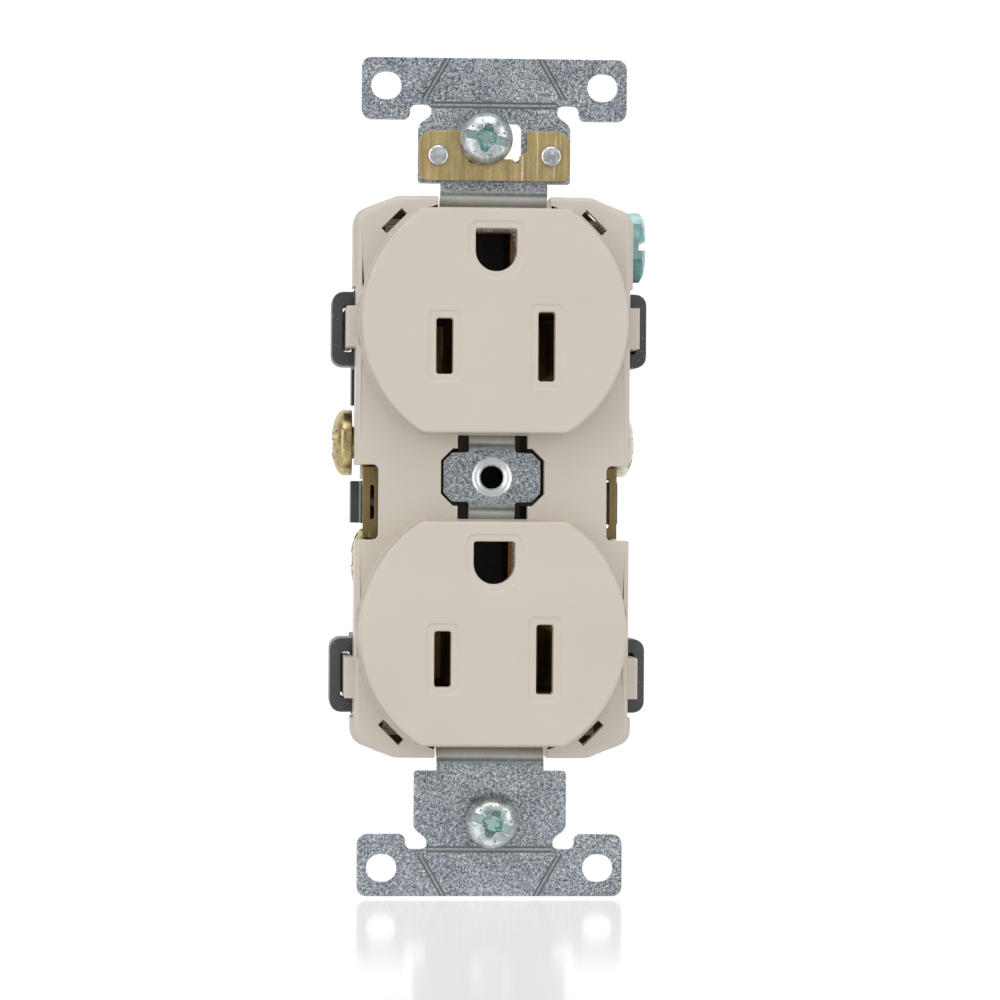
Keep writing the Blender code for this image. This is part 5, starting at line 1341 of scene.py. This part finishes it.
# ---- Pieces that keep the frame's shape ----------------------------------
@dataclass
class Insides:
    """The back body, the terminal buses and the contacts."""

    edge: float = 0.06 * MM
    carried: dict[str, Finish] = field(default_factory=dict)

    def build(self) -> None:
        """Reworks the body and the buses with broken edges."""
        reworked("back_body", "back_body_piece", BODY_PLASTIC, 0.12 * MM)
        for side in ("hot", "neutral"):
            reworked(f"{side}_terminal_bus", f"{side}_bus_piece", BRASS_SHEET, self.edge)
        for label, _ in ENDS:
            reworked(f"ground_contact_{label}", f"ground_contact_piece_{label}", BRONZE, self.edge)

    def dress(self) -> None:
        """Gives the nodes that stay their finishes."""
        self.build()
        for label, _ in ENDS:
            self.carried[f"screw_retainer_{label}"] = WASHER_FIBRE
            for side, _ in SIDES:
                self.carried[f"ground_rivet_{label}_{side}"] = BRONZE
        for name, finish in self.carried.items():
            node = frame["nodes"][name]
            for holder in node.material_slots:
                holder.link = "OBJECT"
                holder.material = finish.material()
            LOG.info("%s keeps its shape", name)


# ---- The studio ----------------------------------------------------------
@dataclass
class Studio:
    """White sweep, soft boxes and the camera."""

    floor_z: float = -52.95 * MM
    floor_size: float = 3.0
    aim: tuple[float, float, float] = (0.63 * MM, -27.6 * MM, -2.84 * MM)
    distance: float = 0.5
    azimuth: float = radians(3.7)
    roll: float = radians(0.385)
    lens: float = 144.99

    def floor(self) -> None:
        """A plain pale floor with a faint gloss."""
        maker = bmesh.new()
        place = Matrix.Translation((0, 0, self.floor_z))
        bmesh.ops.create_grid(maker, x_segments=1, y_segments=1, size=self.floor_size / 2, matrix=place)
        data = bpy.data.meshes.new("floor")
        maker.to_mesh(data)
        maker.free()
        floor = bpy.data.objects.new("floor", data)
        bpy.context.scene.collection.objects.link(floor)
        material = bpy.data.materials.new("white_floor")
        material.use_nodes = True
        material.node_tree.nodes.clear()
        board = Board(material.node_tree)
        glow = board.add("ShaderNodeEmission", None, {"Color": (1, 1, 1, 1), "Strength": 1.02})
        gloss = board.add("ShaderNodeBsdfGlossy", None, {"Color": (1, 1, 1, 1), "Roughness": 0.12})
        mixed = board.add("ShaderNodeMixShader", None, {0: 0.3, 1: glow, 2: gloss})
        output = material.node_tree.nodes.new("ShaderNodeOutputMaterial")
        material.node_tree.links.new(mixed.socket, output.inputs["Surface"])
        data.materials.append(material)

    def world(self) -> None:
        """Even light from all round, white behind the object."""
        world = bpy.data.worlds.new("studio")
        bpy.context.scene.world = world
        world.use_nodes = True
        world.node_tree.nodes.clear()
        board = Board(world.node_tree)
        toward = board.part(board.coordinate("Generated"), Axis.Y)
        height = board.part(board.coordinate("Generated"), Axis.Z)
        strength = toward.between(0.2, 0.6) * 0.62 + height.between(-0.2, 0.9) * 0.25 + 0.42
        shade = board.add("ShaderNodeBackground", None, {"Color": (1, 1, 1, 1), "Strength": strength})
        output = world.node_tree.nodes.new("ShaderNodeOutputWorld")
        world.node_tree.links.new(shade.socket, output.inputs["Surface"])

    def box(self, name: str, place: tuple[float, float, float], width: float, height: float, power: float) -> bpy.types.Object:
        """One soft box that looks at the object.

        Args:
            name: The light's name.
            place: Where it hangs.
            width: Its width.
            height: Its height.
            power: Its power in watts.

        Returns:
            The light.
        """
        data = bpy.data.lights.new(name, "AREA")
        data.shape = "RECTANGLE"
        data.size = width
        data.size_y = height
        data.energy = power
        light = bpy.data.objects.new(name, data)
        light.location = place
        light.rotation_euler = (-Vector(place)).to_track_quat("-Z", "Y").to_euler()
        bpy.context.scene.collection.objects.link(light)
        return light

    def camera(self) -> None:
        """The camera, level with the outlet's middle and a little to its left."""
        view = Vector((sin(self.azimuth), cos(self.azimuth), 0))
        right = Vector((cos(self.azimuth), -sin(self.azimuth), 0))
        up = Vector((0, 0, 1))
        across = cos(self.roll) * right + sin(self.roll) * up
        upward = cos(self.roll) * up - sin(self.roll) * right
        data = bpy.data.cameras.new("camera")
        data.lens = self.lens
        data.sensor_width = 36.0
        data.clip_start = 0.01
        data.clip_end = 20.0
        camera = bpy.data.objects.new("camera", data)
        turn = Matrix((across, upward, -view)).transposed().to_4x4()
        camera.matrix_world = Matrix.Translation(Vector(self.aim) - self.distance * view) @ turn
        bpy.context.scene.collection.objects.link(camera)
        bpy.context.scene.camera = camera

    def build(self) -> None:
        """Sets the whole studio up."""
        bpy.context.scene.view_settings.view_transform = "Standard"
        self.floor()
        self.world()
        self.box("left_box", (-0.75, -0.7, 0.35), 0.5, 0.9, 3.2)
        self.box("right_box", (0.85, -0.6, 0.25), 0.4, 0.9, 2.1)
        fill = self.box("front_box", (0.15, -1.15, 0.3), 0.8, 0.8, 2.4)
        fill.visible_glossy = False
        self.box("top_box", (0.0, -0.45, 0.95), 0.9, 0.5, 3.2)
        self.camera()


def main() -> None:
    """Builds the outlet piece by piece, then the studio around it."""
    logging.basicConfig(level=logging.INFO, format="%(message)s")
    FrontCover().dress()
    MountingStrap().dress()
    GroundingClip().dress()
    Insides().dress()
    ScrewSet().dress()
    Studio().build()


if __name__ == "__main__":
    main()
